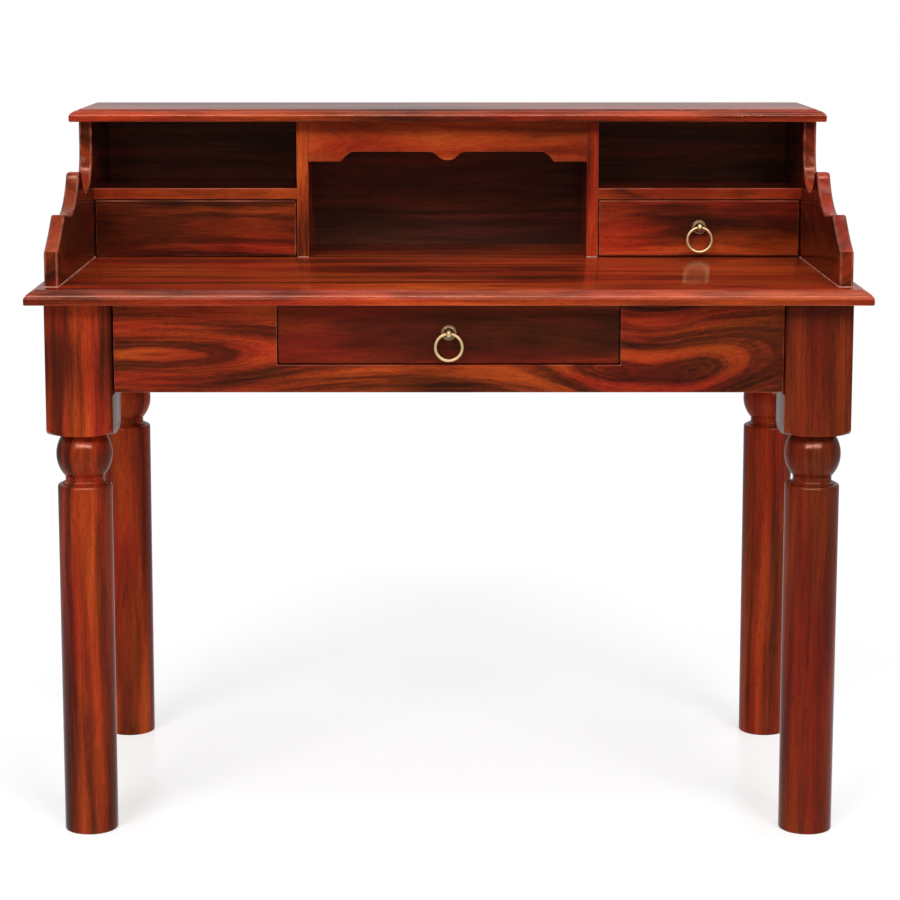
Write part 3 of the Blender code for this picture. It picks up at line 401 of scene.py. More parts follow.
def board_wood(name, pale):
    """Plain straight-grained board along X with dull pores, as drawer boxes have."""
    shader, node = material(name)
    dark = tuple(0.62 * part for part in pale)
    place = node("ShaderNodeTexCoord", out="Object")
    streaks, pores = (
        node("ShaderNodeVectorMath", [place, per_metre(*size)], operation="MULTIPLY")
        for size in (LINING_STREAKS, LINING_PORES)
    )
    streaks = node("ShaderNodeTexNoise", {"Vector": streaks, "Scale": 1.0, "Detail": 4.0, "Roughness": 0.6})
    pores = node("ShaderNodeTexNoise", {"Vector": pores, "Scale": 1.0, "Detail": 1.0})
    pores = node("ShaderNodeMapRange", [pores, 0.58, 0.72], **SMOOTH)
    shade = stops(node("ShaderNodeValToRGB", [streaks]), (0.30, 0.70), (dark, pale))
    share = node("ShaderNodeMath", [pores, 0.45], operation="MULTIPLY")
    shade = node("ShaderNodeMix", {0: share, 6: shade, 7: dark}, out=2, data_type="RGBA")
    rough = node("ShaderNodeMapRange", [streaks, 0.3, 0.7, 0.58, 0.70], **SMOOTH)
    height = node("ShaderNodeMath", [streaks, pores], operation="SUBTRACT")
    normal = node("ShaderNodeBump", {"Height": height, "Strength": 0.12, "Distance": 0.0004})
    fill(shader, {"Base Color": shade, "Roughness": rough, "Normal": normal, "IOR": 1.40})


def satin_brass(name, bright, dark):
    """Warm satin brass with soft brown patches and soft casting marks."""
    shader, node = material(name)
    place = node("ShaderNodeTexCoord", out="Object")
    patches = {"Vector": place, "Scale": 1000.0 / BRASS_PATCHES, "Detail": 3.0, "Roughness": 0.6}
    patches = node("ShaderNodeTexNoise", patches)
    share = node("ShaderNodeMapRange", [patches, 0.50, 0.75, 0.0, 0.35], **SMOOTH)
    shade = node("ShaderNodeMix", {0: share, 6: bright, 7: dark}, out=2, data_type="RGBA")
    rough = node("ShaderNodeMapRange", [patches, 0.35, 0.7, 0.42, 0.52], **SMOOTH)
    marks = node("ShaderNodeTexNoise", {"Vector": place, "Scale": 1000.0 / CASTING_MARKS, "Detail": 2.0})
    normal = node("ShaderNodeBump", {"Height": marks, "Strength": 0.05, "Distance": 0.0003})
    fill(shader, {"Base Color": shade, "Roughness": rough, "Normal": normal, "Metallic": 1.0})


def zinc_steel(name, pale):
    """Grey plated steel with a faint mottle."""
    shader, node = material(name)
    place = node("ShaderNodeTexCoord", out="Object")
    patches = node("ShaderNodeTexNoise", {"Vector": place, "Scale": 1000.0 / ZINC_MOTTLE, "Detail": 3.0})
    dark = tuple(0.7 * part for part in pale)
    shade = stops(node("ShaderNodeValToRGB", [patches]), (0.3, 0.7), (dark, pale))
    rough = node("ShaderNodeMapRange", [patches, 0.3, 0.7, 0.30, 0.45], **SMOOTH)
    fill(shader, {"Base Color": shade, "Roughness": rough, "Metallic": 1.0})


def joint_filler(name, dark, pale):
    """Dull pale filler that was wiped along a joint and has rubbed away in places."""
    shader, node = material(name)
    place = node("ShaderNodeTexCoord", out="Object")
    place = node("ShaderNodeVectorMath", [place, per_metre(*FILLER_PATCHES)[::-1]], operation="MULTIPLY")
    patches = node("ShaderNodeTexNoise", {"Vector": place, "Scale": 1.0, "Detail": 3.0})
    shade = stops(node("ShaderNodeValToRGB", [patches]), (0.35, 0.55), (dark, pale))
    fill(shader, {"Base Color": shade, "Roughness": 0.6})


def finishes():
    """The finishes by name, made on first use."""
    colours = bpy.context.scene.desk_colours
    made = bpy.data.materials
    if "lacquered_rosewood" not in made:
        rosewood = (colours.streak, colours.heart, colours.body, colours.glow, colours.flame)
        smoked = (colours.streak, colours.smoke, colours.smoke, colours.ember, colours.body)
        figured_wood("lacquered_rosewood", colours, rosewood)
        figured_wood("smoked_rosewood", colours, smoked)
        board_wood("drawer_lining_wood", colours.lining)
        satin_brass("antique_brass", colours.brass, colours.tarnish)
        satin_brass("tarnished_brass", colours.dull_brass, colours.tarnish)
        satin_brass("brass_patina", colours.patina, colours.streak)
        zinc_steel("zinc_plated_steel", colours.steel)
        joint_filler("joint_filler", colours.body, colours.filler)
    return made


def grain_place(name, low, high, wood):
    """Where a point of a board lies in its log: along the pith, then across and through from it."""
    along, across, through = (AXES.index(letter) for letter in wood.axes)
    seed = wood.log or zlib.crc32(name.encode()) % 1000 / 50
    middle = (low + high) / 2

    def place(point, centre):
        stave = int((centre[across] - low[across]) / wood.stave) if wood.stave else 0
        start = low[across] + (stave + 0.5) * wood.stave if wood.stave else middle[across]
        pulls = [math.exp(-(((point[along] - core.along) / core.reach) ** 2)) for core in wood.cores]
        sink = wood.sink * math.prod(1 - pull for pull in pulls)
        line = start + sum(pull * (core.across - start) for pull, core in zip(pulls, wood.cores))
        depth = point[through] - middle[through] + sink
        return point[along] + seed + STAVE_SHIFT * stave, point[across] - line, depth

    return place


def slice_along(shape, axis, low, high, step):
    """Cuts a mesh across an axis so that values at its corners can follow a curve along it."""
    count = int((high[axis] - low[axis]) / step)
    normal = Vector([float(place == axis) for place in range(3)])
    for number in range(1, count + 1):
        at = low + (high - low) * (number / (count + 1))
        everything = [*shape.verts, *shape.edges, *shape.faces]
        bmesh.ops.bisect_plane(shape, geom=everything, plane_co=at, plane_no=normal)


def extent(shape):
    spots = [vert.co for vert in shape.verts]
    return tuple(Vector([pick(spot[axis] for spot in spots) for axis in range(3)]) for pick in (min, max))


def toned(spot, wood):
    """How pale a point of a board is, from its own tone and its soft bands."""
    offs = (((spot[AXES.index(band.axis)] - band.middle) / band.reach, band.amount) for band in wood.bands)
    return wood.tone + sum(amount * math.exp(-(off**2)) for off, amount in offs)


def show(name, mesh, body="root", nodes=()):
    """Shows a finished mesh as a piece that rides on a body and stands for CAD nodes."""
    mesh.name = name
    obj = bpy.data.objects.new(name, mesh)
    bpy.context.scene.collection.objects.link(obj)
    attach(obj, body)
    if nodes:
        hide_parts(*nodes)
    return obj


def cad_shape(node):
    """A merged copy of a CAD node's mesh, with its flat faces joined."""
    source = frame["nodes"][node].data
    shape = bmesh.new()
    verts = [shape.verts.new(vert.co) for vert in source.vertices]
    for polygon in source.polygons:
        shape.faces.new([verts[index] for index in polygon.vertices])
    bmesh.ops.remove_doubles(shape, verts=shape.verts, dist=1e-5)
    bmesh.ops.dissolve_limit(shape, angle_limit=0.01, verts=shape.verts, edges=shape.edges)
    return shape


def piece(
    node, shape=None, finish="lacquered_rosewood", body="root", wood=None, sliced=True, worn_and_sheen=1.0, raw=None
):
    """Makes the piece that stands for a CAD node, from a bmesh or else from the node's own mesh.

    Rosewood carries its grain, its tone and its rubbed edges, whose worn colour is partly painted sheen; its
    narrow faces that look up are painted paler as sheen; and raw(normal, place) tells which of its faces are
    hidden in a joint and have no lacquer.
    """
    name = f"{node}_finished"
    if shape is None:
        shape = cad_shape(node)
    low, high = extent(shape)
    if wood:
        along, across, through = (AXES.index(letter) for letter in wood.axes)
        if wood.cores and sliced:
            slice_along(shape, along, low, high, bpy.context.scene.desk_sizes.figure_step)
        if wood.stave:
            slice_along(shape, across, low, high, wood.stave * (1 - 1e-6))
        for band in wood.bands if sliced else ():
            slice_along(shape, AXES.index(band.axis), low, high, BAND_CUTS * band.reach)
    mesh = bpy.data.meshes.new(name)
    shape.to_mesh(mesh)
    shape.free()
    mesh.materials.append(finishes()[finish])
    mesh.shade_smooth()
    mesh.set_sharp_from_angle(angle=SMOOTH_BELOW)
    if wood:
        place = grain_place(name, low, high, wood)
        tones = [toned(vert.co, wood) for vert in mesh.vertices]
        for item, layout in WOOD_VALUES.items():
            mesh.attributes.new(item, *layout)
        grain, tone, edge, polish, life = (mesh.attributes[item].data for item in WOOD_VALUES)
        life.foreach_set("value", [wood.life] * len(mesh.vertices))
        for polygon in mesh.polygons:
            slant = abs(polygon.normal[through])
            bare = raw and raw(polygon.normal, polygon.center)
            # Painted sheen: narrow faces that look up are painted paler; leaning edges get the worn colour, which
            # is partly painted sheen
            painted_sheen = wood.rim * max(polygon.normal.z, 0.0) if slant < WORN_AND_SHEEN_SLANTS[0] else 0.0
            edge[polygon.index].value = worn_and_sheen if WORN_AND_SHEEN_SLANTS[0] < slant < WORN_AND_SHEEN_SLANTS[1] else 0.0
            polish[polygon.index].value = 0.0 if bare else 0.5
            for corner in polygon.loop_indices:
                vertex = mesh.loops[corner].vertex_index
                grain[corner].vector = place(mesh.vertices[vertex].co, polygon.center)
                tone[corner].value = tones[vertex] + painted_sheen
    return show(name, mesh, body, [node])


def ease(shape, width, segments, edges):
    bmesh.ops.bevel(
        shape, geom=list(edges), offset=width, segments=segments, profile=0.5, affect="EDGES", clamp_overlap=True
    )


def extrusion(outline, low, high, axis):
    """An outline in the plane square to axis, drawn out along it from low to high."""
    shape = bmesh.new()
    place = AXES.index(axis)
    corners = [(*point[:place], low, *point[place:]) for point in outline]
    face = shape.faces.new([shape.verts.new(corner) for corner in corners])
    drawn = bmesh.ops.extrude_face_region(shape, geom=[face])["geom"]
    way = Vector([(high - low) * (item == place) for item in range(3)])
    moved = [item for item in drawn if isinstance(item, bmesh.types.BMVert)]
    bmesh.ops.translate(shape, vec=way, verts=moved)
    bmesh.ops.recalc_face_normals(shape, faces=shape.faces)
    return shape


def box_shape(low, high):
    shape = bmesh.new()
    bmesh.ops.create_cube(shape, size=1.0)
    bmesh.ops.scale(shape, vec=Vector(high) - Vector(low), verts=shape.verts)
    bmesh.ops.translate(shape, vec=(Vector(low) + Vector(high)) / 2, verts=shape.verts)
    return shape


def turned(profile, sides, closed=False):
    """Turns (radius, height) points round Z: a closed profile makes a ring, an open one ends on Z."""
    shape = bmesh.new()
    angles = [2 * math.pi * step / sides for step in range(sides)]
    rings = []
    for radius, height in profile:
        if radius > 0.0:
            spots = [(radius * math.cos(angle), radius * math.sin(angle), height) for angle in angles]
            rings.append([shape.verts.new(spot) for spot in spots])
        else:
            rings.append([shape.verts.new((0.0, 0.0, height))])
    pairs = list(zip(rings, rings[1:]))
    if closed:
        pairs.append((rings[-1], rings[0]))
    for lower, upper in pairs:
        for step in range(sides):
            after = (step + 1) % sides
            corners = [lower[step % len(lower)], lower[after % len(lower)]]
            corners += [upper[after % len(upper)], upper[step % len(upper)]]
            shape.faces.new(list(dict.fromkeys(corners)))
    bmesh.ops.recalc_face_normals(shape, faces=shape.faces)
    return shape


def rod(radius, low, high, sides):
    return turned([(0.0, low), (radius, low), (radius, high), (0.0, high)], sides)


def arc(middle, radii, start, stop, steps):
    """Points of an oval arc, both ends included; angles in degrees."""
    angles = [math.radians(start + (stop - start) * step / steps) for step in range(steps + 1)]
    return [(middle[0] + radii[0] * math.cos(a), middle[1] + radii[1] * math.sin(a)) for a in angles]


def bowed(start, end, bow, steps):
    """Points between two ends on a circle that stands bow off their line, to its left where positive."""
    run, rise = end[0] - start[0], end[1] - start[1]
    span = math.hypot(run, rise)
    radius = (span**2 / 4 + bow**2) / (2 * abs(bow))
    reach = math.asin(min(1.0, span / 2 / radius))
    points = []
    for step in range(1, steps):
        swing = reach * (2 * step / steps - 1)
        along = span / 2 + radius * math.sin(swing)
        off = math.copysign(radius * (math.cos(swing) - math.cos(reach)), bow)
        shift = ((run * along - rise * off) / span, (rise * along + run * off) / span)
        points.append((start[0] + shift[0], start[1] + shift[1]))
    return points


def rounded_corner(before, corner, after, radius, steps=6):
    """Points that round one corner of an outline, within the straights beside it."""
    corner = Vector(corner)
    back, ahead = Vector(before) - corner, Vector(after) - corner
    half = back.angle(ahead) / 2
    reach = min(radius / math.tan(half), 0.45 * back.length, 0.45 * ahead.length)
    start = tuple(corner + back.normalized() * reach)
    end = tuple(corner + ahead.normalized() * reach)
    bow = math.copysign(reach * math.tan(half) * (1 - math.sin(half)), back.x * ahead.y - back.y * ahead.x)
    return [start, *bowed(start, end, bow, steps), end]


def carved(shape, operation, *tools):
    """A bmesh after Boolean cuts or intersections with other bmeshes, which are used up."""
    helpers = []
    for part in (shape, *tools):
        mesh = bpy.data.meshes.new("carving")
        part.to_mesh(mesh)
        part.free()
        helpers.append(bpy.data.objects.new("carving", mesh))
        bpy.context.scene.collection.objects.link(helpers[-1])
    for tool in helpers[1:]:
        modifier = helpers[0].modifiers.new("carving", "BOOLEAN")
        modifier.operation = operation
        modifier.object = tool
    bpy.context.view_layer.update()
    done = helpers[0].evaluated_get(bpy.context.evaluated_depsgraph_get())
    result = bmesh.new()
    result.from_mesh(done.to_mesh())
    for helper in helpers:
        bpy.data.objects.remove(helper)
    bmesh.ops.remove_doubles(result, verts=result.verts, dist=1e-6)
    return result


def stand(start, direction):
    """The move that sets what stands on the origin along Z on a start point, along a direction."""
    return Matrix.Translation(start) @ Vector(direction).to_track_quat("Z", "Y").to_matrix().to_4x4()


def node_tree(name, **sockets):
    """A Geometry Nodes tree with named inputs, the function that adds its nodes, and those inputs."""
    tree = bpy.data.node_groups.new(name, "GeometryNodeTree")
    for label, kind in {"Geometry": "Geometry", **sockets, "Finish": "Material"}.items():
        label = label.replace("_", " ")
        tree.interface.new_socket(label, in_out="INPUT", socket_type=f"NodeSocket{kind}")
    tree.interface.new_socket("Geometry", in_out="OUTPUT", socket_type="NodeSocketGeometry")
    return tree, partial(add, tree), tree.nodes.new("NodeGroupInput").outputs


def close_tree(tree, geometry, finish):
    """Ends a tree in Realize Instances, smooth shading and Set Material, because the export
    drops instances.
    """
    real = add(tree, "GeometryNodeRealizeInstances", [geometry])
    smooth = add(tree, "GeometryNodeSetShadeSmooth", {"Geometry": real})
    coated = add(tree, "GeometryNodeSetMaterial", {"Geometry": smooth, "Material": finish})
    add(tree, "NodeGroupOutput", {"Geometry": coated})
    return tree


def grown(tree, carrier_mesh, **values):
    """The plain mesh that a tree makes on a carrier mesh with these inputs."""
    carrier = bpy.data.objects.new("carrier", carrier_mesh)
    bpy.context.scene.collection.objects.link(carrier)
    modifier = carrier.modifiers.new("grow", "NODES")
    modifier.node_group = tree
    for item in tree.interface.items_tree:
        key = item.name.replace(" ", "_")
        if item.in_out == "INPUT" and key in values:
            modifier[item.identifier] = values[key]
    bpy.context.view_layer.update()
    shown = carrier.evaluated_get(bpy.context.evaluated_depsgraph_get())
    mesh = bpy.data.meshes.new_from_object(shown)
    bpy.data.objects.remove(carrier)
    mesh.set_sharp_from_angle(angle=SMOOTH_BELOW)
    return mesh


def lines_mesh(lines):
    """A mesh of single edges, for a tree that follows them."""
    mesh = bpy.data.meshes.new("lines")
    spots = [spot for line in lines for spot in line]
    mesh.from_pydata(spots, [(first, first + 1) for first in range(0, len(spots), 2)], [])
    return mesh


def points_mesh(spots):
    """A mesh of points, each with the way it faces, for a tree that sets something on them."""
    mesh = bpy.data.meshes.new("points")
    mesh.from_pydata([spot for spot, facing in spots], [], [])
    ways = mesh.attributes.new("facing", "FLOAT_VECTOR", "POINT")
    for item, (spot, facing) in zip(ways.data, spots):
        item.vector = facing
    return mesh


def hoop_tree():
    """A wire hoop in the XZ plane that hangs from the origin."""
    tree, node, inputs = node_tree("pull hoop", Radius="Float", Wire="Float", Steps="Int", Wire_Steps="Int")
    hoop, wire = (
        node("GeometryNodeCurvePrimitiveCircle", {"Resolution": inputs[steps], "Radius": inputs[radius]})
        for steps, radius in (("Steps", "Radius"), ("Wire Steps", "Wire"))
    )
    swept = node("GeometryNodeCurveToMesh", {"Curve": hoop, "Profile Curve": wire})
    drop = node("ShaderNodeMath", [inputs["Radius"], -1.0], operation="MULTIPLY")
    drop = node("ShaderNodeCombineXYZ", {"Z": drop})
    hung = {"Geometry": swept, "Translation": drop, "Rotation": (math.pi / 2, 0.0, 0.0)}
    return close_tree(tree, node("GeometryNodeTransform", hung), inputs["Finish"])


def bead_tree():
    """A bead of uneven thickness along the edges of the carrier."""
    tree, node, inputs = node_tree("joint bead", Radius="Float", Sides="Int", Step="Float", Lumps="Float")
    path = node("GeometryNodeMeshToCurve", {"Mesh": inputs["Geometry"]})
    path = node("GeometryNodeResampleCurve", {"Curve": path, "Length": inputs["Step"]}, mode="LENGTH")
    lumps = node("ShaderNodeTexNoise", {"Scale": inputs["Lumps"], "Detail": 2.0})
    lumps = node("ShaderNodeMapRange", [lumps, 0.3, 0.7, 0.5, 1.5], **SMOOTH)
    section = {"Resolution": inputs["Sides"], "Radius": inputs["Radius"]}
    section = node("GeometryNodeCurvePrimitiveCircle", section)
    sweep = {"Curve": path, "Profile Curve": section, "Fill Caps": True, "Scale": lumps}
    return close_tree(tree, node("GeometryNodeCurveToMesh", sweep), inputs["Finish"])


def thread_tree():
    """A bolt along Z from the origin, with a thread wound round it."""
    tree, node, inputs = node_tree("threaded bolt", Radius="Float", Length="Float", Pitch="Float", Depth="Float")
    reach, depth = inputs["Length"], inputs["Depth"]
    core = node("ShaderNodeMath", [inputs["Radius"], depth], operation="SUBTRACT")
    turns = node("ShaderNodeMath", [reach, inputs["Pitch"]], operation="DIVIDE")
    winding = {"Resolution": 24, "Rotations": turns, "Start Radius": core, "End Radius": core, "Height": reach}
    helix = node("GeometryNodeCurveSpiral", winding)
    tooth = node("GeometryNodeCurvePrimitiveCircle", {"Resolution": 4, "Radius": depth})
    thread = node("GeometryNodeCurveToMesh", {"Curve": helix, "Profile Curve": tooth, "Fill Caps": True})
    shank = node("GeometryNodeMeshCylinder", {"Vertices": 24, "Radius": core, "Depth": reach})
    lift = node("ShaderNodeMath", [reach, 0.5], operation="MULTIPLY")
    lift = node("ShaderNodeCombineXYZ", {"Z": lift})
    shank = node("GeometryNodeTransform", {"Geometry": shank, "Translation": lift})
    whole = node("GeometryNodeJoinGeometry", [shank])
    fill(whole.node, [thread])
    return close_tree(tree, whole, inputs["Finish"])


def screw_tree():
    """A cross-slotted screw head on each point of the carrier, facing the way the point says."""
    tree, node, inputs = node_tree("screw heads", Head_Radius="Float", Head_Rise="Float", Slot_Width="Float")
    radius, rise = inputs["Head Radius"], inputs["Head Rise"]
    flat = node("ShaderNodeMath", [radius, SCREW_TOP], operation="MULTIPLY")
    head = {"Vertices": 24, "Radius Top": flat, "Radius Bottom": radius, "Depth": rise}
    head = node("GeometryNodeMeshCone", head)
    reach = node("ShaderNodeMath", [flat, SLOT_REACH], operation="MULTIPLY")
    lift = node("ShaderNodeMath", [rise, SLOT_LIFT], operation="MULTIPLY")
    lift = node("ShaderNodeCombineXYZ", {"Z": lift})
    for across, beside in (("X", "Y"), ("Y", "X")):
        size = node("ShaderNodeCombineXYZ", {across: reach, beside: inputs["Slot Width"], "Z": rise})
        bar = node("GeometryNodeMeshCube", {"Size": size})
        bar = node("GeometryNodeTransform", {"Geometry": bar, "Translation": lift})
        head = node("GeometryNodeMeshBoolean", [head, bar], operation="DIFFERENCE")
    facing = node("GeometryNodeInputNamedAttribute", {"Name": "facing"}, data_type="FLOAT_VECTOR")
    turn = node("FunctionNodeAlignRotationToVector", {"Vector": facing}, axis="Z")
    placed = {"Points": inputs["Geometry"], "Instance": head, "Rotation": turn}
    return close_tree(tree, node("GeometryNodeInstanceOnPoints", placed), inputs["Finish"])


def moulded_board(low, high, sizes):
    """A board with a moulded front and ends, mitred at the corners, and a square back edge."""
    thick = high.z - low.z
    run, step = sizes.mould_run, sizes.mould_step
    slope_start, slope_end = (run - step, step), (0.0, thick - sizes.nose_height)
    nose = arc((sizes.nose_round, thick - sizes.nose_round), (sizes.nose_round,) * 2, 180, 90, 6)
    slope = [slope_start, *bowed(slope_start, slope_end, sizes.mould_bulge, 14)]
    profile = rounded_corner((2 * run, 0.0), (run, 0.0), (run, step), sizes.flat_edge, 3)
    profile += [(run, step - HAIR), (run - HAIR, step), *slope[:-1]]
    profile += [*rounded_corner(slope[-2], slope_end, nose[0], sizes.nose_edge), *nose]
    shape = bmesh.new()
    loops = []
    for inset, drop in profile:
        corners = [(low.x + inset, low.y + inset), (high.x - inset, low.y + inset)]
        corners += [(high.x - inset, high.y), (low.x + inset, high.y)]
        loops.append([shape.verts.new((*corner, high.z - drop)) for corner in corners])
    for upper, lower in zip(loops, loops[1:]):
        for side in range(4):
            after = (side + 1) % 4
            shape.faces.new([upper[side], lower[side], lower[after], upper[after]])
    shape.faces.new(loops[0])
    shape.faces.new(loops[-1][::-1])
    bmesh.ops.recalc_face_normals(shape, faces=shape.faces)
    return shape


class DESK_OT_tops(bpy.types.Operator):
    """Builds the desk top and the hutch top with their moulded edges."""

    bl_idname = "desk.tops"
    bl_label = "Tops"

    def execute(self, context):
        woods = {
            "desk_top": Wood("XYZ", sink=0.050, stave=0.1034, log=8.9),
            "hutch_top": Wood("XYZ", sink=0.045, tone=-0.09, stave=0.1121),
        }
        for node, wood in woods.items():
            # On the moulded slope the worn colour is painted sheen as much as wear
            piece(node, moulded_board(*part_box(node), context.scene.desk_sizes), wood=wood, worn_and_sheen=0.5)
        return {"FINISHED"}


def leg_turning(top, half):
    """(radius, height) of a turned leg, foot to top. Above the ball it only rounds the block's corners."""
    ball, tall = BALL[0] / 2, BALL[1] / 2
    block_bottom = top - BLOCK_HEIGHT
    top_angle = math.degrees(math.acos(BALL_TOP_DIAMETER / BALL[0]))
    neck_angle = -math.degrees(math.acos(NECK_DIAMETER / BALL[0]))
    ball_middle = block_bottom - tall * math.sin(math.radians(top_angle))
    neck_top = ball_middle + tall * math.sin(math.radians(neck_angle))
    lip, foot, shaft = LIP_DIAMETER / 2, FOOT_DIAMETER / 2 - FOOT_CHAMFER, SHAFT_DIAMETER / 2 - SHOULDER_ROUND
    flare = (LIP_DIAMETER - NECK_DIAMETER) / 2
    shoulder = neck_top - NECK_HEIGHT - flare - LIP_HEIGHT
    corner = half * math.sqrt(2)
    blank = corner + BLANK_PAST
    return [
        (0.0, 0.0),
        (foot, 0.0),
        *arc((foot, FOOT_CHAMFER), (FOOT_CHAMFER,) * 2, 300, 360, 3),
        *arc((shaft, shoulder - SHOULDER_ROUND), (SHOULDER_ROUND,) * 2, 0, 90, 8),
        (lip + HAIR, shoulder),
        (lip, shoulder + HAIR),
        *arc((lip, neck_top - NECK_HEIGHT), (flare, flare), 270, 180, 6),
        *arc((0.0, ball_middle), (ball, tall), neck_angle, top_angle, 28),
        *arc((half, block_bottom + POMMEL_RISE), (corner - half, POMMEL_RISE), 270, 360, 14),
        (blank, block_bottom + POMMEL_RISE + BLANK_PAST),
        (blank, top + BLANK_PAST),
        (0.0, top + BLANK_PAST),
    ]


class DESK_OT_legs(bpy.types.Operator):
    """Builds the four turned legs."""

    bl_idname = "desk.legs"
    bl_label = "Legs"

    def execute(self, context):
        sizes = context.scene.desk_sizes
        low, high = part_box("leg_front_left")
        half = (high.x - low.x) / 2
        stock = box_shape((-half, -half, -CLEAR), (half, half, high.z))
        upright = [edge for edge in stock.edges if abs(edge.verts[0].co.z - edge.verts[1].co.z) > half]
        ease(stock, sizes.leg_edge, 5, upright)
        leg = carved(stock, "INTERSECT", turned(leg_turning(high.z, half), sizes.lathe_sides))
        for axis in (0, 2):
            slice_along(leg, axis, *extent(leg), sizes.figure_step)
        pattern = bpy.data.meshes.new("leg pattern")
        leg.to_mesh(pattern)
        leg.free()
        block, dark_block = (Band("Z", high.z - 0.08, 0.07, amount) for amount in (-0.08, -0.24))
        ball, dark_ball = (Band("Z", 0.52, 0.03, amount) for amount in (-0.06, -0.20))
        head, foot = Band("Z", high.z, 0.03, -0.14), Band("Z", 0.0, 0.25, -0.14)
        stripes = Band("X", -0.492, 0.015, 0.17), Band("X", -0.530, 0.014, -0.17)
        first = (dark_block, dark_ball, foot, *stripes)
        woods = {
            "front_left": Wood("ZYX", sink=0.075, tone=-0.02, bands=first, life=0.7, log=12.02),
            "front_right": Wood("ZYX", sink=0.085, tone=-0.15, bands=(head, ball), life=0.4, log=19.0),
            "back_left": Wood("ZXY", sink=0.070, tone=0.03, bands=(block,), life=0.7),
            "back_right": Wood("ZYX", sink=0.095, tone=-0.06, bands=(block,), life=0.6),
        }
        apron_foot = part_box("front_apron")[0].z

        def in_joint(normal, place):
            return place.z > apron_foot and min(normal.x * place.x, normal.y * place.y) < 0.0

        for corner, wood in woods.items():
            low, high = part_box(f"leg_{corner}")
            shape = bmesh.new()
            shape.from_mesh(pattern)
            middle = (low + high) / 2
            bmesh.ops.translate(shape, vec=(middle.x, middle.y, 0.0), verts=shape.verts)
            piece(f"leg_{corner}", shape, wood=wood, sliced=False, worn_and_sheen=0.0, raw=in_joint)
        bpy.data.meshes.remove(pattern)
        return {"FINISHED"}


class DESK_OT_aprons(bpy.types.Operator):
    """Finishes the aprons, with the figure of one wide board across the front."""

    bl_idname = "desk.aprons"
    bl_label = "Aprons"

    def execute(self, context):
        cores = (Core(-0.56, 0.668, 0.36), Core(0.270, 0.644, 0.12))
        bands = (Band("X", 0.0, 0.07, -0.18), Band("Z", 0.628, 0.02, -0.12))
        woods = {
            "front_apron": Wood("XZY", cores=cores, tone=-0.06, bands=bands, log=14.36),
            "back_apron": Wood("XZY", sink=0.060, cores=(Core(0.1, 0.70, 0.2),), tone=-0.04),
            "left_apron": Wood("YZX"),
            "right_apron": Wood("YZX", sink=0.060),
        }
        for node, wood in woods.items():
            through = AXES.index(wood.axes[2])
            piece(node, wood=wood, raw=lambda normal, _: abs(normal[through]) < 0.1)
        return {"FINISHED"}


def end_outline(front, desk, rear, top):
    """(Y, Z) of a hutch end: gallery front, two crests, round notch and upright case front."""
    front_top = (0.0, GALLERY_RISE)
    notch_middle = (UPRIGHT_RUN - NOTCH_RADIUS, NOTCH_RISE + NOTCH_RADIUS)
    notch_start = 180 + math.degrees(math.asin((notch_middle[1] - SECOND_CREST[1]) / NOTCH_RADIUS))
    notch = arc(notch_middle, (NOTCH_RADIUS,) * 2, notch_start, 360, 40)
    slope = bowed(front_top, FIRST_CREST, -SLOPE_HOLLOW, 16)
    cove = bowed(VALLEY, SECOND_CREST, -COVE_HOLLOW, 20)
    points = [(0.0, 0.0), front_top, *slope[:-1]]
    points += rounded_corner(slope[-4], FIRST_CREST, VALLEY, CREST_ROUND)
    points += [VALLEY, *cove[:-1]]
    points += rounded_corner(cove[-4], SECOND_CREST, notch[0], CREST_ROUND)
    points += rounded_corner(SECOND_CREST, notch[0], notch[4], CREST_ROUND)
    points += notch[5:]
    outline = [(front + run, desk + rise) for run, rise in points]
    return [*outline, (front + UPRIGHT_RUN, top), (rear, top), (rear, desk)]


class DESK_OT_hutch_ends(bpy.types.Operator):
    """Builds the scalloped hutch ends with their shelf dado and back rabbet."""

    bl_idname = "desk.hutch_ends"
    bl_label = "Hutch ends"

    def execute(self, context):
        shelf_low, shelf_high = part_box("hutch_shelf_left")
        panel_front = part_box("hutch_back_panel")[0].y
        # The first band is painted shade: the end is darker inside the case, where it stands in shade
        bands = (Band("Y", 0.22, 0.09, -0.12), Band("Y", 0.096, 0.012, 0.04))
        for hand, side in HANDS.items():
            low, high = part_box(f"hutch_end_{hand}")
            shape = extrusion(end_outline(low.y, low.z, high.y, high.z), low.x, high.x, "X")
            caps = [face for face in shape.faces if abs(face.normal.x) > 0.9]
            rim = {edge for face in caps for edge in face.edges}
            shown = [edge for edge in rim if max(v.co.z for v in edge.verts) > low.z + HAIR]
            shown = [edge for edge in shown if max(v.co.y for v in edge.verts) < low.y + UPRIGHT_RUN + HAIR]
            ease(shape, context.scene.desk_sizes.scallop_edge, 4, shown)
            inner = low.x if side > 0 else high.x
            cuts = []
            for depth, foot, head in (
                (SHELF_DADO, (shelf_low.y, shelf_low.z - HAIR), (high.y + CLEAR, shelf_high.z + HAIR)),
                (PANEL_RABBET, (panel_front - HAIR, low.z - CLEAR), (high.y + CLEAR, high.z + CLEAR)),
            ):
                near, far = sorted([inner - side * CLEAR, inner + side * depth])
                cuts.append(box_shape((near, *foot), (far, *head)))
            shape = carved(shape, "DIFFERENCE", *cuts)
            cores = (Core(low.y + 0.16, low.z + 0.05, 0.10),)
            # rim paints the end's narrow faces that look up paler: painted sheen
            wood = Wood("YZX", sink=0.050, cores=cores, tone=-0.27, bands=bands, life=0.5, rim=0.32)
            piece(f"hutch_end_{hand}", shape, wood=wood, worn_and_sheen=0.75)
        return {"FINISHED"}


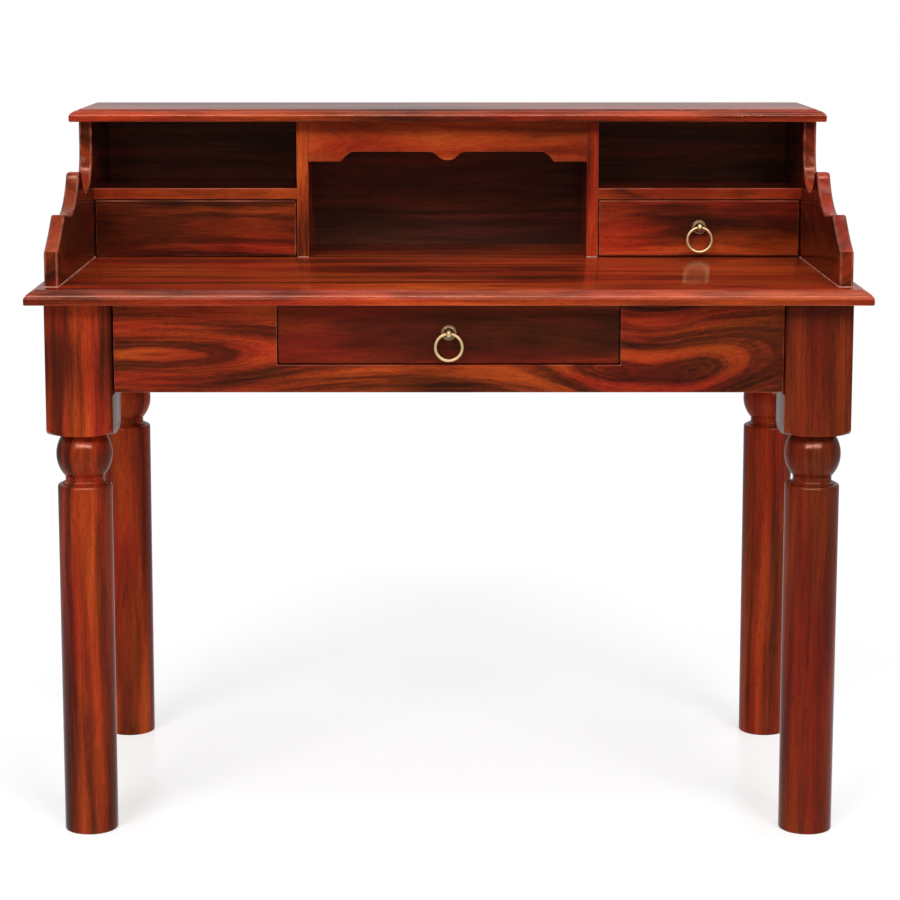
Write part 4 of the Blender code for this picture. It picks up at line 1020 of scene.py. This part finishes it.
class DESK_OT_hutch_case(bpy.types.Operator):
    """Finishes the dividers, shelves and back panel of the hutch."""

    bl_idname = "desk.hutch_case"
    bl_label = "Hutch case"

    def execute(self, context):
        for hand, tone, shelf_tone in (("left", 0.01, -0.37), ("right", -0.14, -0.25)):
            piece(f"hutch_divider_{hand}", wood=Wood("ZYX", sink=0.045, tone=tone, life=1.6))
            front = Band("Y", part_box(f"hutch_shelf_{hand}")[0].y, 0.006, 0.36)
            shelf = Wood("XZY", sink=0.040, tone=shelf_tone, bands=(front,), life=1.2)
            piece(f"hutch_shelf_{hand}", wood=shelf, worn_and_sheen=2.2)
        # The panel closes the hairline gaps above and below it, which would let the white behind show through
        low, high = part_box("hutch_back_panel")
        closing = Vector((0.0, 0.0, HAIR))
        # Painted shade: the panel is darker along its foot, where it meets the desk top
        foot = Band("Z", 0.762, 0.022, -0.22)
        panel = Wood("XZY", sink=0.035, tone=0.14, bands=(foot,), life=0.6, log=2.94)
        piece("hutch_back_panel", box_shape(low - closing, high + closing), "smoked_rosewood", wood=panel)
        return {"FINISHED"}


class DESK_OT_valance(bpy.types.Operator):
    """Builds the shaped valance over the middle bay."""

    bl_idname = "desk.valance"
    bl_label = "Valance"

    def execute(self, context):
        low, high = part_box("hutch_valance")
        top = high.z
        ear_z, flat_z, tip_z = (top - drop for drop in VALANCE_DROPS)
        ear, shoulder = (VALANCE_EAR[0], ear_z), (VALANCE_EAR[1], flat_z)
        hollow, tip = (VALANCE_TIP_HALF, flat_z), (0.0, tip_z)
        turn = (VALANCE_TIP_HALF / 2, (flat_z + tip_z) / 2)
        half = [(high.x, top), (high.x, ear_z), ear, *bowed(ear, shoulder, -VALANCE_BOW, 8), shoulder]
        half += [hollow, *bowed(hollow, turn, -VALANCE_BOW, 8), turn, *bowed(turn, tip, VALANCE_BOW, 8)]
        shape = extrusion([*half, tip, *[(-x, z) for x, z in reversed(half)]], low.y, high.y, "Y")
        face = next(item for item in shape.faces if item.normal.y < -0.9)
        ease(shape, VALANCE_EDGE, 2, [e for e in face.edges if max(v.co.z for v in e.verts) < top - HAIR])
        wood = Wood("XZY", sink=0.050, cores=(Core(-0.33, 0.93, 0.15),), tone=0.27, log=12.92)
        piece("hutch_valance", shape, wood=wood)
        return {"FINISHED"}


class DESK_OT_drawers(bpy.types.Operator):
    """Finishes the three drawers, their runners and stops: rosewood fronts on plain boxes."""

    bl_idname = "desk.drawers"
    bl_label = "Drawers"

    def execute(self, context):
        bands = (Band("Z", 0.842, 0.030, -0.20), Band("Z", 0.770, 0.020, 0.08))
        for body, worn_and_sheen, wood in (
            ("middle_drawer", 0.0, Wood("XZY", sink=0.070, tone=-0.32, life=0.6, log=13.6)),
            ("left_drawer", 1.8, Wood("XZY", sink=0.060, tone=-0.15, log=8.62)),
            ("right_drawer", 1.8, Wood("XZY", sink=0.065, tone=-0.10, bands=bands, log=15.08)),
        ):
            piece(f"{body}_front", body=body, wood=wood, worn_and_sheen=worn_and_sheen)
            for part in ("side_left", "side_right", "back", "bottom"):
                piece(f"{body}_{part}", finish="drawer_lining_wood", body=body)
        for hand in HANDS:
            for part in ("runner", "stop"):
                piece(f"drawer_{part}_{hand}", finish="drawer_lining_wood")
        return {"FINISHED"}


def hex_nut(flats, thick, bore):
    """A nut round Z with chamfered corners and a bore, its near face at the origin."""
    corner = flats / math.sqrt(3)
    cut = (corner - flats / 2) * NUT_CHAMFER[0]
    face, reach = corner - NUT_CHAMFER[1] * cut, corner + HAIR
    rounding = [(0.0, 0.0), (face, 0.0), (reach, cut), (reach, thick - cut), (face, thick), (0.0, thick)]
    shape = carved(rod(corner, 0.0, thick, 6), "INTERSECT", turned(rounding, 48))
    return carved(shape, "DIFFERENCE", rod(bore, -CLEAR, thick + CLEAR, 32))


def rosette_profile(rim, bore):
    """(radius, height) of a rosette: rounded rim, fine groove, bead and a boss round the post."""
    near, far = (rim - inset for inset in ROSETTE_GROOVE)
    foot, top = (POST_NECK_RADIUS + past for past in BOSS_PAST)
    return [
        (bore, 0.0),
        (rim - ROSETTE_RIM / 2, 0.0),
        (rim, ROSETTE_RIM / 2),
        *arc((rim - ROSETTE_RIM, ROSETTE_RIM), (ROSETTE_RIM,) * 2, 20, 90, 5),
        (near, ROSETTE_FLAT),
        ((near + far) / 2, ROSETTE_FLAT - HAIR),
        (far, ROSETTE_FLAT),
        *arc((rim - ROSETTE_BEAD, ROSETTE_FLAT), BEAD_RADII, 15, 165, 7),
        (foot, ROSETTE_FLAT),
        (top, ROSETTE_THICKNESS),
        (bore, ROSETTE_THICKNESS),
    ]


def post_shape(tail):
    """A post along Z from the drawer's face: shank back to tail, collar and a flat head with an eye."""
    width, height, depth = (value / 2 for value in POST_HEAD)
    start = ROSETTE_THICKNESS + 2 * GAP
    neck_angle = -math.degrees(math.acos(POST_NECK_RADIUS / height))
    collar_middle = (POST_NECK_RADIUS - COLLAR_INSET, start + COLLAR_RADII[1])
    profile = [(0.0, tail), (SHANK_RADIUS, tail), (SHANK_RADIUS, start)]
    profile += arc(collar_middle, COLLAR_RADII, -90, 60, 5)
    profile += arc((0.0, STANDOFF), (height, depth), neck_angle, 90, 24)[:-1]
    shape = turned([*profile, (0.0, STANDOFF + depth)], 40)
    for vert in shape.verts:
        if vert.co.z > start:
            vert.co.x *= width / height
    eye = rod(EYE_RADIUS, -CLEAR, CLEAR, 32)
    eye.transform(stand((0.0, 0.0, STANDOFF), ACROSS))
    return carved(shape, "DIFFERENCE", eye)


class DESK_OT_pulls(bpy.types.Operator):
    """Builds the two brass ring pulls: rosette, post with an eye, ring and nut."""

    bl_idname = "desk.pulls"
    bl_label = "Ring pulls"

    def execute(self, context):
        sizes = context.scene.desk_sizes
        hoop = hoop_tree()
        rim, bore = ROSETTE_DIAMETER / 2, SHANK_RADIUS + HAIR
        for side in ("middle", "right"):
            pull, body = f"{side}_pull", f"{side}_drawer"
            low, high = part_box(f"{pull}_rosette")
            seat = Vector(((low.x + high.x) / 2, high.y, (low.z + high.z) / 2))
            shape = turned(rosette_profile(rim, bore), 64, closed=True)
            shape.transform(stand(seat, OUT))
            mesh = piece(f"{pull}_rosette", shape, "tarnished_brass", body).data
            mesh.materials.append(finishes()["brass_patina"])
            for polygon in mesh.polygons:
                polygon.material_index = int((polygon.center - seat).xz.length < rim - PATINA_FROM)

            face = seat.y + GAP
            shape = post_shape(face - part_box(f"{pull}_post")[1].y)
            shape.transform(stand((seat.x, face, seat.z), OUT))
            piece(f"{pull}_post", shape, "antique_brass", body)

            wire, brass = sizes.wire_radius, finishes()["antique_brass"]
            values = {"Radius": sizes.ring_radius, "Wire": wire, "Steps": 96, "Wire_Steps": 20, "Finish": brass}
            mesh = grown(hoop, bpy.data.meshes.new("ring"), **values)
            low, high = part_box(f"{pull}_ring")
            mesh.transform(Matrix.Translation(((low.x + high.x) / 2, (low.y + high.y) / 2, high.z - wire)))
            show(f"{pull}_ring_finished", mesh, f"{side}_ring", [f"{pull}_ring"])

            low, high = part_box(f"{pull}_nut")
            nut = hex_nut(min(high.x - low.x, high.z - low.z), high.y - low.y, bore)
            nut.transform(stand((seat.x, low.y, seat.z), BACK))
            piece(f"{pull}_nut", nut, "antique_brass", body)
        return {"FINISHED"}


def inward_from(corner):
    """The level way from a corner of the desk to its middle."""
    return Vector((1.0 if "left" in corner else -1.0, 1.0 if "front" in corner else -1.0, 0.0)).normalized()


class DESK_OT_leg_fixings(bpy.types.Operator):
    """Finishes the corner blocks and builds the threaded bolts and nuts that draw the legs in."""

    bl_idname = "desk.leg_fixings"
    bl_label = "Leg fixings"

    def execute(self, context):
        sizes = context.scene.desk_sizes
        bolt = thread_tree()
        flats, thick = LEG_NUT
        for corner in CORNERS:
            inward = inward_from(corner)
            piece(f"corner_block_{corner}", wood=Wood("XZY", sink=0.050, tone=-0.05))
            low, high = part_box(f"leg_bolt_{corner}")
            reach = (high.x - low.x) * math.sqrt(2) - 2 * BOLT_RADIUS
            values = {"Radius": BOLT_RADIUS, "Length": reach, "Depth": THREAD_DEPTH}
            values |= {"Pitch": sizes.thread_pitch, "Finish": finishes()["zinc_plated_steel"]}
            mesh = grown(bolt, bpy.data.meshes.new("bolt"), **values)
            mesh.transform(stand((low + high) / 2 - inward * reach / 2, inward))
            show(f"leg_bolt_{corner}_finished", mesh, nodes=[f"leg_bolt_{corner}"])
            low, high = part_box(f"leg_nut_{corner}")
            nut = hex_nut(flats, thick, BOLT_RADIUS + HAIR)
            nut.transform(stand((low + high) / 2 - inward * thick / 2, inward))
            piece(f"leg_nut_{corner}", nut, "zinc_plated_steel")
        return {"FINISHED"}


class DESK_OT_screws(bpy.types.Operator):
    """Sets screw heads in the back panel, the corner blocks and under the runners."""

    bl_idname = "desk.screws"
    bl_label = "Screws"

    def execute(self, context):
        half = SCREW_RISE / 2
        end, edge = PANEL_SCREW_INSETS
        low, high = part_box("hutch_back_panel")
        spots = []
        for step in range(PANEL_SCREWS):
            x = low.x + end + (high.x - low.x - 2 * end) * step / (PANEL_SCREWS - 1)
            spots += [((x, high.y + half, z), BACK) for z in (low.z + edge, high.z - edge)]
        for corner in CORNERS:
            low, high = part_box(f"corner_block_{corner}")
            inward = inward_from(corner)
            for offset in (-BLOCK_SCREW_OFFSET, BLOCK_SCREW_OFFSET):
                spot = (low + high) / 2 + Vector((-inward.y, inward.x, 0.0)) * offset
                spots.append(((spot.x, spot.y, low.z - half), DOWN))
        for hand, side in HANDS.items():
            low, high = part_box(f"drawer_runner_{hand}")
            x = (low.x if side < 0 else high.x) - side * RUNNER_SCREW_INSET
            spots += [((x, low.y + (high.y - low.y) * share, low.z - half), DOWN) for share in RUNNER_SCREWS]
        values = {"Head_Radius": context.scene.desk_sizes.screw_radius, "Head_Rise": SCREW_RISE}
        values |= {"Slot_Width": SCREW_SLOT, "Finish": finishes()["zinc_plated_steel"]}
        show("screw_heads", grown(screw_tree(), points_mesh(spots), **values))
        return {"FINISHED"}


class DESK_OT_joint_beads(bpy.types.Operator):
    """Lays the thin pale filler beads along the gallery and under the dividers."""

    bl_idname = "desk.joint_beads"
    bl_label = "Joint beads"

    def execute(self, context):
        lines = []
        for hand, side in HANDS.items():
            low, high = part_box(f"hutch_end_{hand}")
            inner, outer = (low.x, high.x) if side > 0 else (high.x, low.x)
            front, z = low.y, low.z
            drawer_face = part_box(f"{hand}_drawer_front")[0].y
            lines.append([(inner, front, z), (inner, drawer_face, z)])
            lines.append([(inner, front, z), (outer, front, z)])
            low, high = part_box(f"hutch_divider_{hand}")
            lines.append([(low.x, low.y, z), (high.x, low.y, z)])
        values = {"Radius": context.scene.desk_sizes.bead_radius, "Sides": 10, "Step": BEAD_STEP}
        values |= {"Lumps": BEAD_LUMPS, "Finish": finishes()["joint_filler"]}
        show("joint_filler_beads", grown(bead_tree(), lines_mesh(lines), **values))
        return {"FINISHED"}


def softbox(name, lamp):
    light = bpy.data.lights.new(name, "AREA")
    light.shape = "RECTANGLE"
    light.size, light.size_y = lamp.size
    light.energy = lamp.power
    obj = bpy.data.objects.new(name, light)
    obj.location = lamp.place
    obj.rotation_euler = (Vector(lamp.target) - Vector(lamp.place)).to_track_quat("-Z", "Y").to_euler()
    bpy.context.scene.collection.objects.link(obj)
    return obj


def seen_straight(node):
    """1 for rays from the camera, also by way of a mirror or glass."""
    path = node("ShaderNodeLightPath").node.outputs
    through = [path["Is Glossy Ray"], path["Is Transmission Ray"]]
    through = node("ShaderNodeMath", through, operation="MAXIMUM")
    return node("ShaderNodeMath", [path["Is Camera Ray"], through], operation="MAXIMUM")


def white_floor():
    """Matt white floor that keeps a share of the shadows near the desk and fades to white further off."""
    shader, node = material("white_floor")
    fill(shader, {"Base Color": FLOOR_WHITE, "Roughness": 0.28})
    place = node("ShaderNodeTexCoord", out="Object")
    away = node("ShaderNodeVectorMath", [place], out="Value", operation="LENGTH")
    share = node("ShaderNodeMapRange", [away, *FLOOR_FADE, FLOOR_GLOW, 1.0], **SMOOTH)
    share = node("ShaderNodeMath", [share, seen_straight(node)], operation="MULTIPLY")
    strength = node("ShaderNodeMapRange", [away, *FLOOR_FADE, FLOOR_LIFT, 1.0], **SMOOTH)
    behind = node("ShaderNodeSeparateXYZ", [place], out="Y")
    behind = node("ShaderNodeMapRange", [behind, *FLOOR_BEHIND], **SMOOTH)
    mirrored = node("ShaderNodeLightPath", out="Is Glossy Ray")
    mirrored = node("ShaderNodeMath", [mirrored, behind], operation="MULTIPLY")
    dimmed = node("ShaderNodeMapRange", [mirrored, 0.0, 1.0, 1.0, HORIZON], **SMOOTH)
    strength = node("ShaderNodeMath", [strength, dimmed], operation="MULTIPLY")
    glow = node("ShaderNodeEmission", {"Color": WHITE, "Strength": strength})
    mixed = node("ShaderNodeMixShader", [share, shader.outputs[0], glow])
    fill(shader.id_data.nodes["Material Output"], {"Surface": mixed})
    return bpy.data.materials["white_floor"]


def white_studio():
    """White to the camera and in mirrors and glass, greyer low down there, and a plain light for the rest."""
    world = bpy.data.worlds.new("white_studio")
    world.use_nodes = True
    node = partial(add, world.node_tree)
    height = node("ShaderNodeSeparateXYZ", [node("ShaderNodeTexCoord", out="Generated")], out="Z")
    mirrored = node("ShaderNodeMapRange", [height, *HORIZON_RISE, HORIZON, 1.0], **SMOOTH)
    glossy = node("ShaderNodeLightPath", out="Is Glossy Ray")
    strength = node("ShaderNodeMix", {0: glossy, 2: 1.0, 3: mirrored})
    strength = node("ShaderNodeMix", {0: seen_straight(node), 2: AMBIENT, 3: strength})
    fill(world.node_tree.nodes["Background"], {"Color": WHITE, "Strength": strength})
    return world


class DESK_OT_stage(bpy.types.Operator):
    """Sets the white floor, the soft studio light and the camera."""

    bl_idname = "desk.stage"
    bl_label = "Stage"

    def execute(self, context):
        scene = context.scene
        mesh = bpy.data.meshes.new("floor")
        half = FLOOR_HALF
        corners = [(-half, -half, 0.0), (half, -half, 0.0), (half, half, 0.0), (-half, half, 0.0)]
        mesh.from_pydata(corners, [], [(0, 1, 2, 3)])
        mesh.materials.append(white_floor())
        floor = bpy.data.objects.new("floor", mesh)
        scene.collection.objects.link(floor)
        scene.world = white_studio()

        lamps = {name: softbox(name, lamp) for name, lamp in LAMPS.items()}
        for name, left_out in GLOSS_STRIPS.items():
            unlit = bpy.data.collections.new(f"{name} leaves out")
            for word in left_out:
                for obj in [obj for obj in scene.objects if word in obj.name]:
                    unlit.objects.link(obj)
            for item in unlit.collection_objects:
                item.light_linking.link_state = "EXCLUDE"
            lamps[name].visible_diffuse = False
            lamps[name].light_linking.receiver_collection = unlit

        camera = bpy.data.cameras.new("desk_camera")
        camera.lens = CAMERA_LENS
        camera.shift_x, camera.shift_y = CAMERA_SHIFT
        camera.dof.use_dof = False
        obj = bpy.data.objects.new("desk_camera", camera)
        obj.location = CAMERA_PLACE
        obj.rotation_euler = (math.pi / 2 - CAMERA_DIP, 0.0, 0.0)
        scene.collection.objects.link(obj)
        scene.camera = obj
        scene.view_settings.view_transform = "Standard"
        return {"FINISHED"}


OPERATORS = (
    DESK_OT_tops,
    DESK_OT_legs,
    DESK_OT_aprons,
    DESK_OT_hutch_ends,
    DESK_OT_hutch_case,
    DESK_OT_valance,
    DESK_OT_drawers,
    DESK_OT_pulls,
    DESK_OT_leg_fixings,
    DESK_OT_screws,
    DESK_OT_joint_beads,
    DESK_OT_stage,
)


class DESK_PT_panel(bpy.types.Panel):
    """Lists the sizes, the colours and the steps of the finish."""

    bl_idname = "DESK_PT_panel"
    bl_label = "Writing desk"
    bl_space_type = "VIEW_3D"
    bl_region_type = "UI"
    bl_category = "Desk"

    def draw(self, context):
        for group in (context.scene.desk_sizes, context.scene.desk_colours):
            for key in group.bl_rna.properties.keys():
                if key not in ("rna_type", "name"):
                    self.layout.prop(group, key)
        for operator in OPERATORS:
            self.layout.operator(operator.bl_idname)


CLASSES = (DeskSizes, DeskColours, *OPERATORS, DESK_PT_panel)


def register():
    for item in CLASSES:
        bpy.utils.register_class(item)
    bpy.types.Scene.desk_sizes = PointerProperty(type=DeskSizes)
    bpy.types.Scene.desk_colours = PointerProperty(type=DeskColours)


def unregister():
    del bpy.types.Scene.desk_colours
    del bpy.types.Scene.desk_sizes
    for item in reversed(CLASSES):
        bpy.utils.unregister_class(item)


def main():
    register()
    for operator in OPERATORS:
        getattr(bpy.ops.desk, operator.bl_idname.removeprefix("desk."))()


if __name__ == "__main__":
    main()
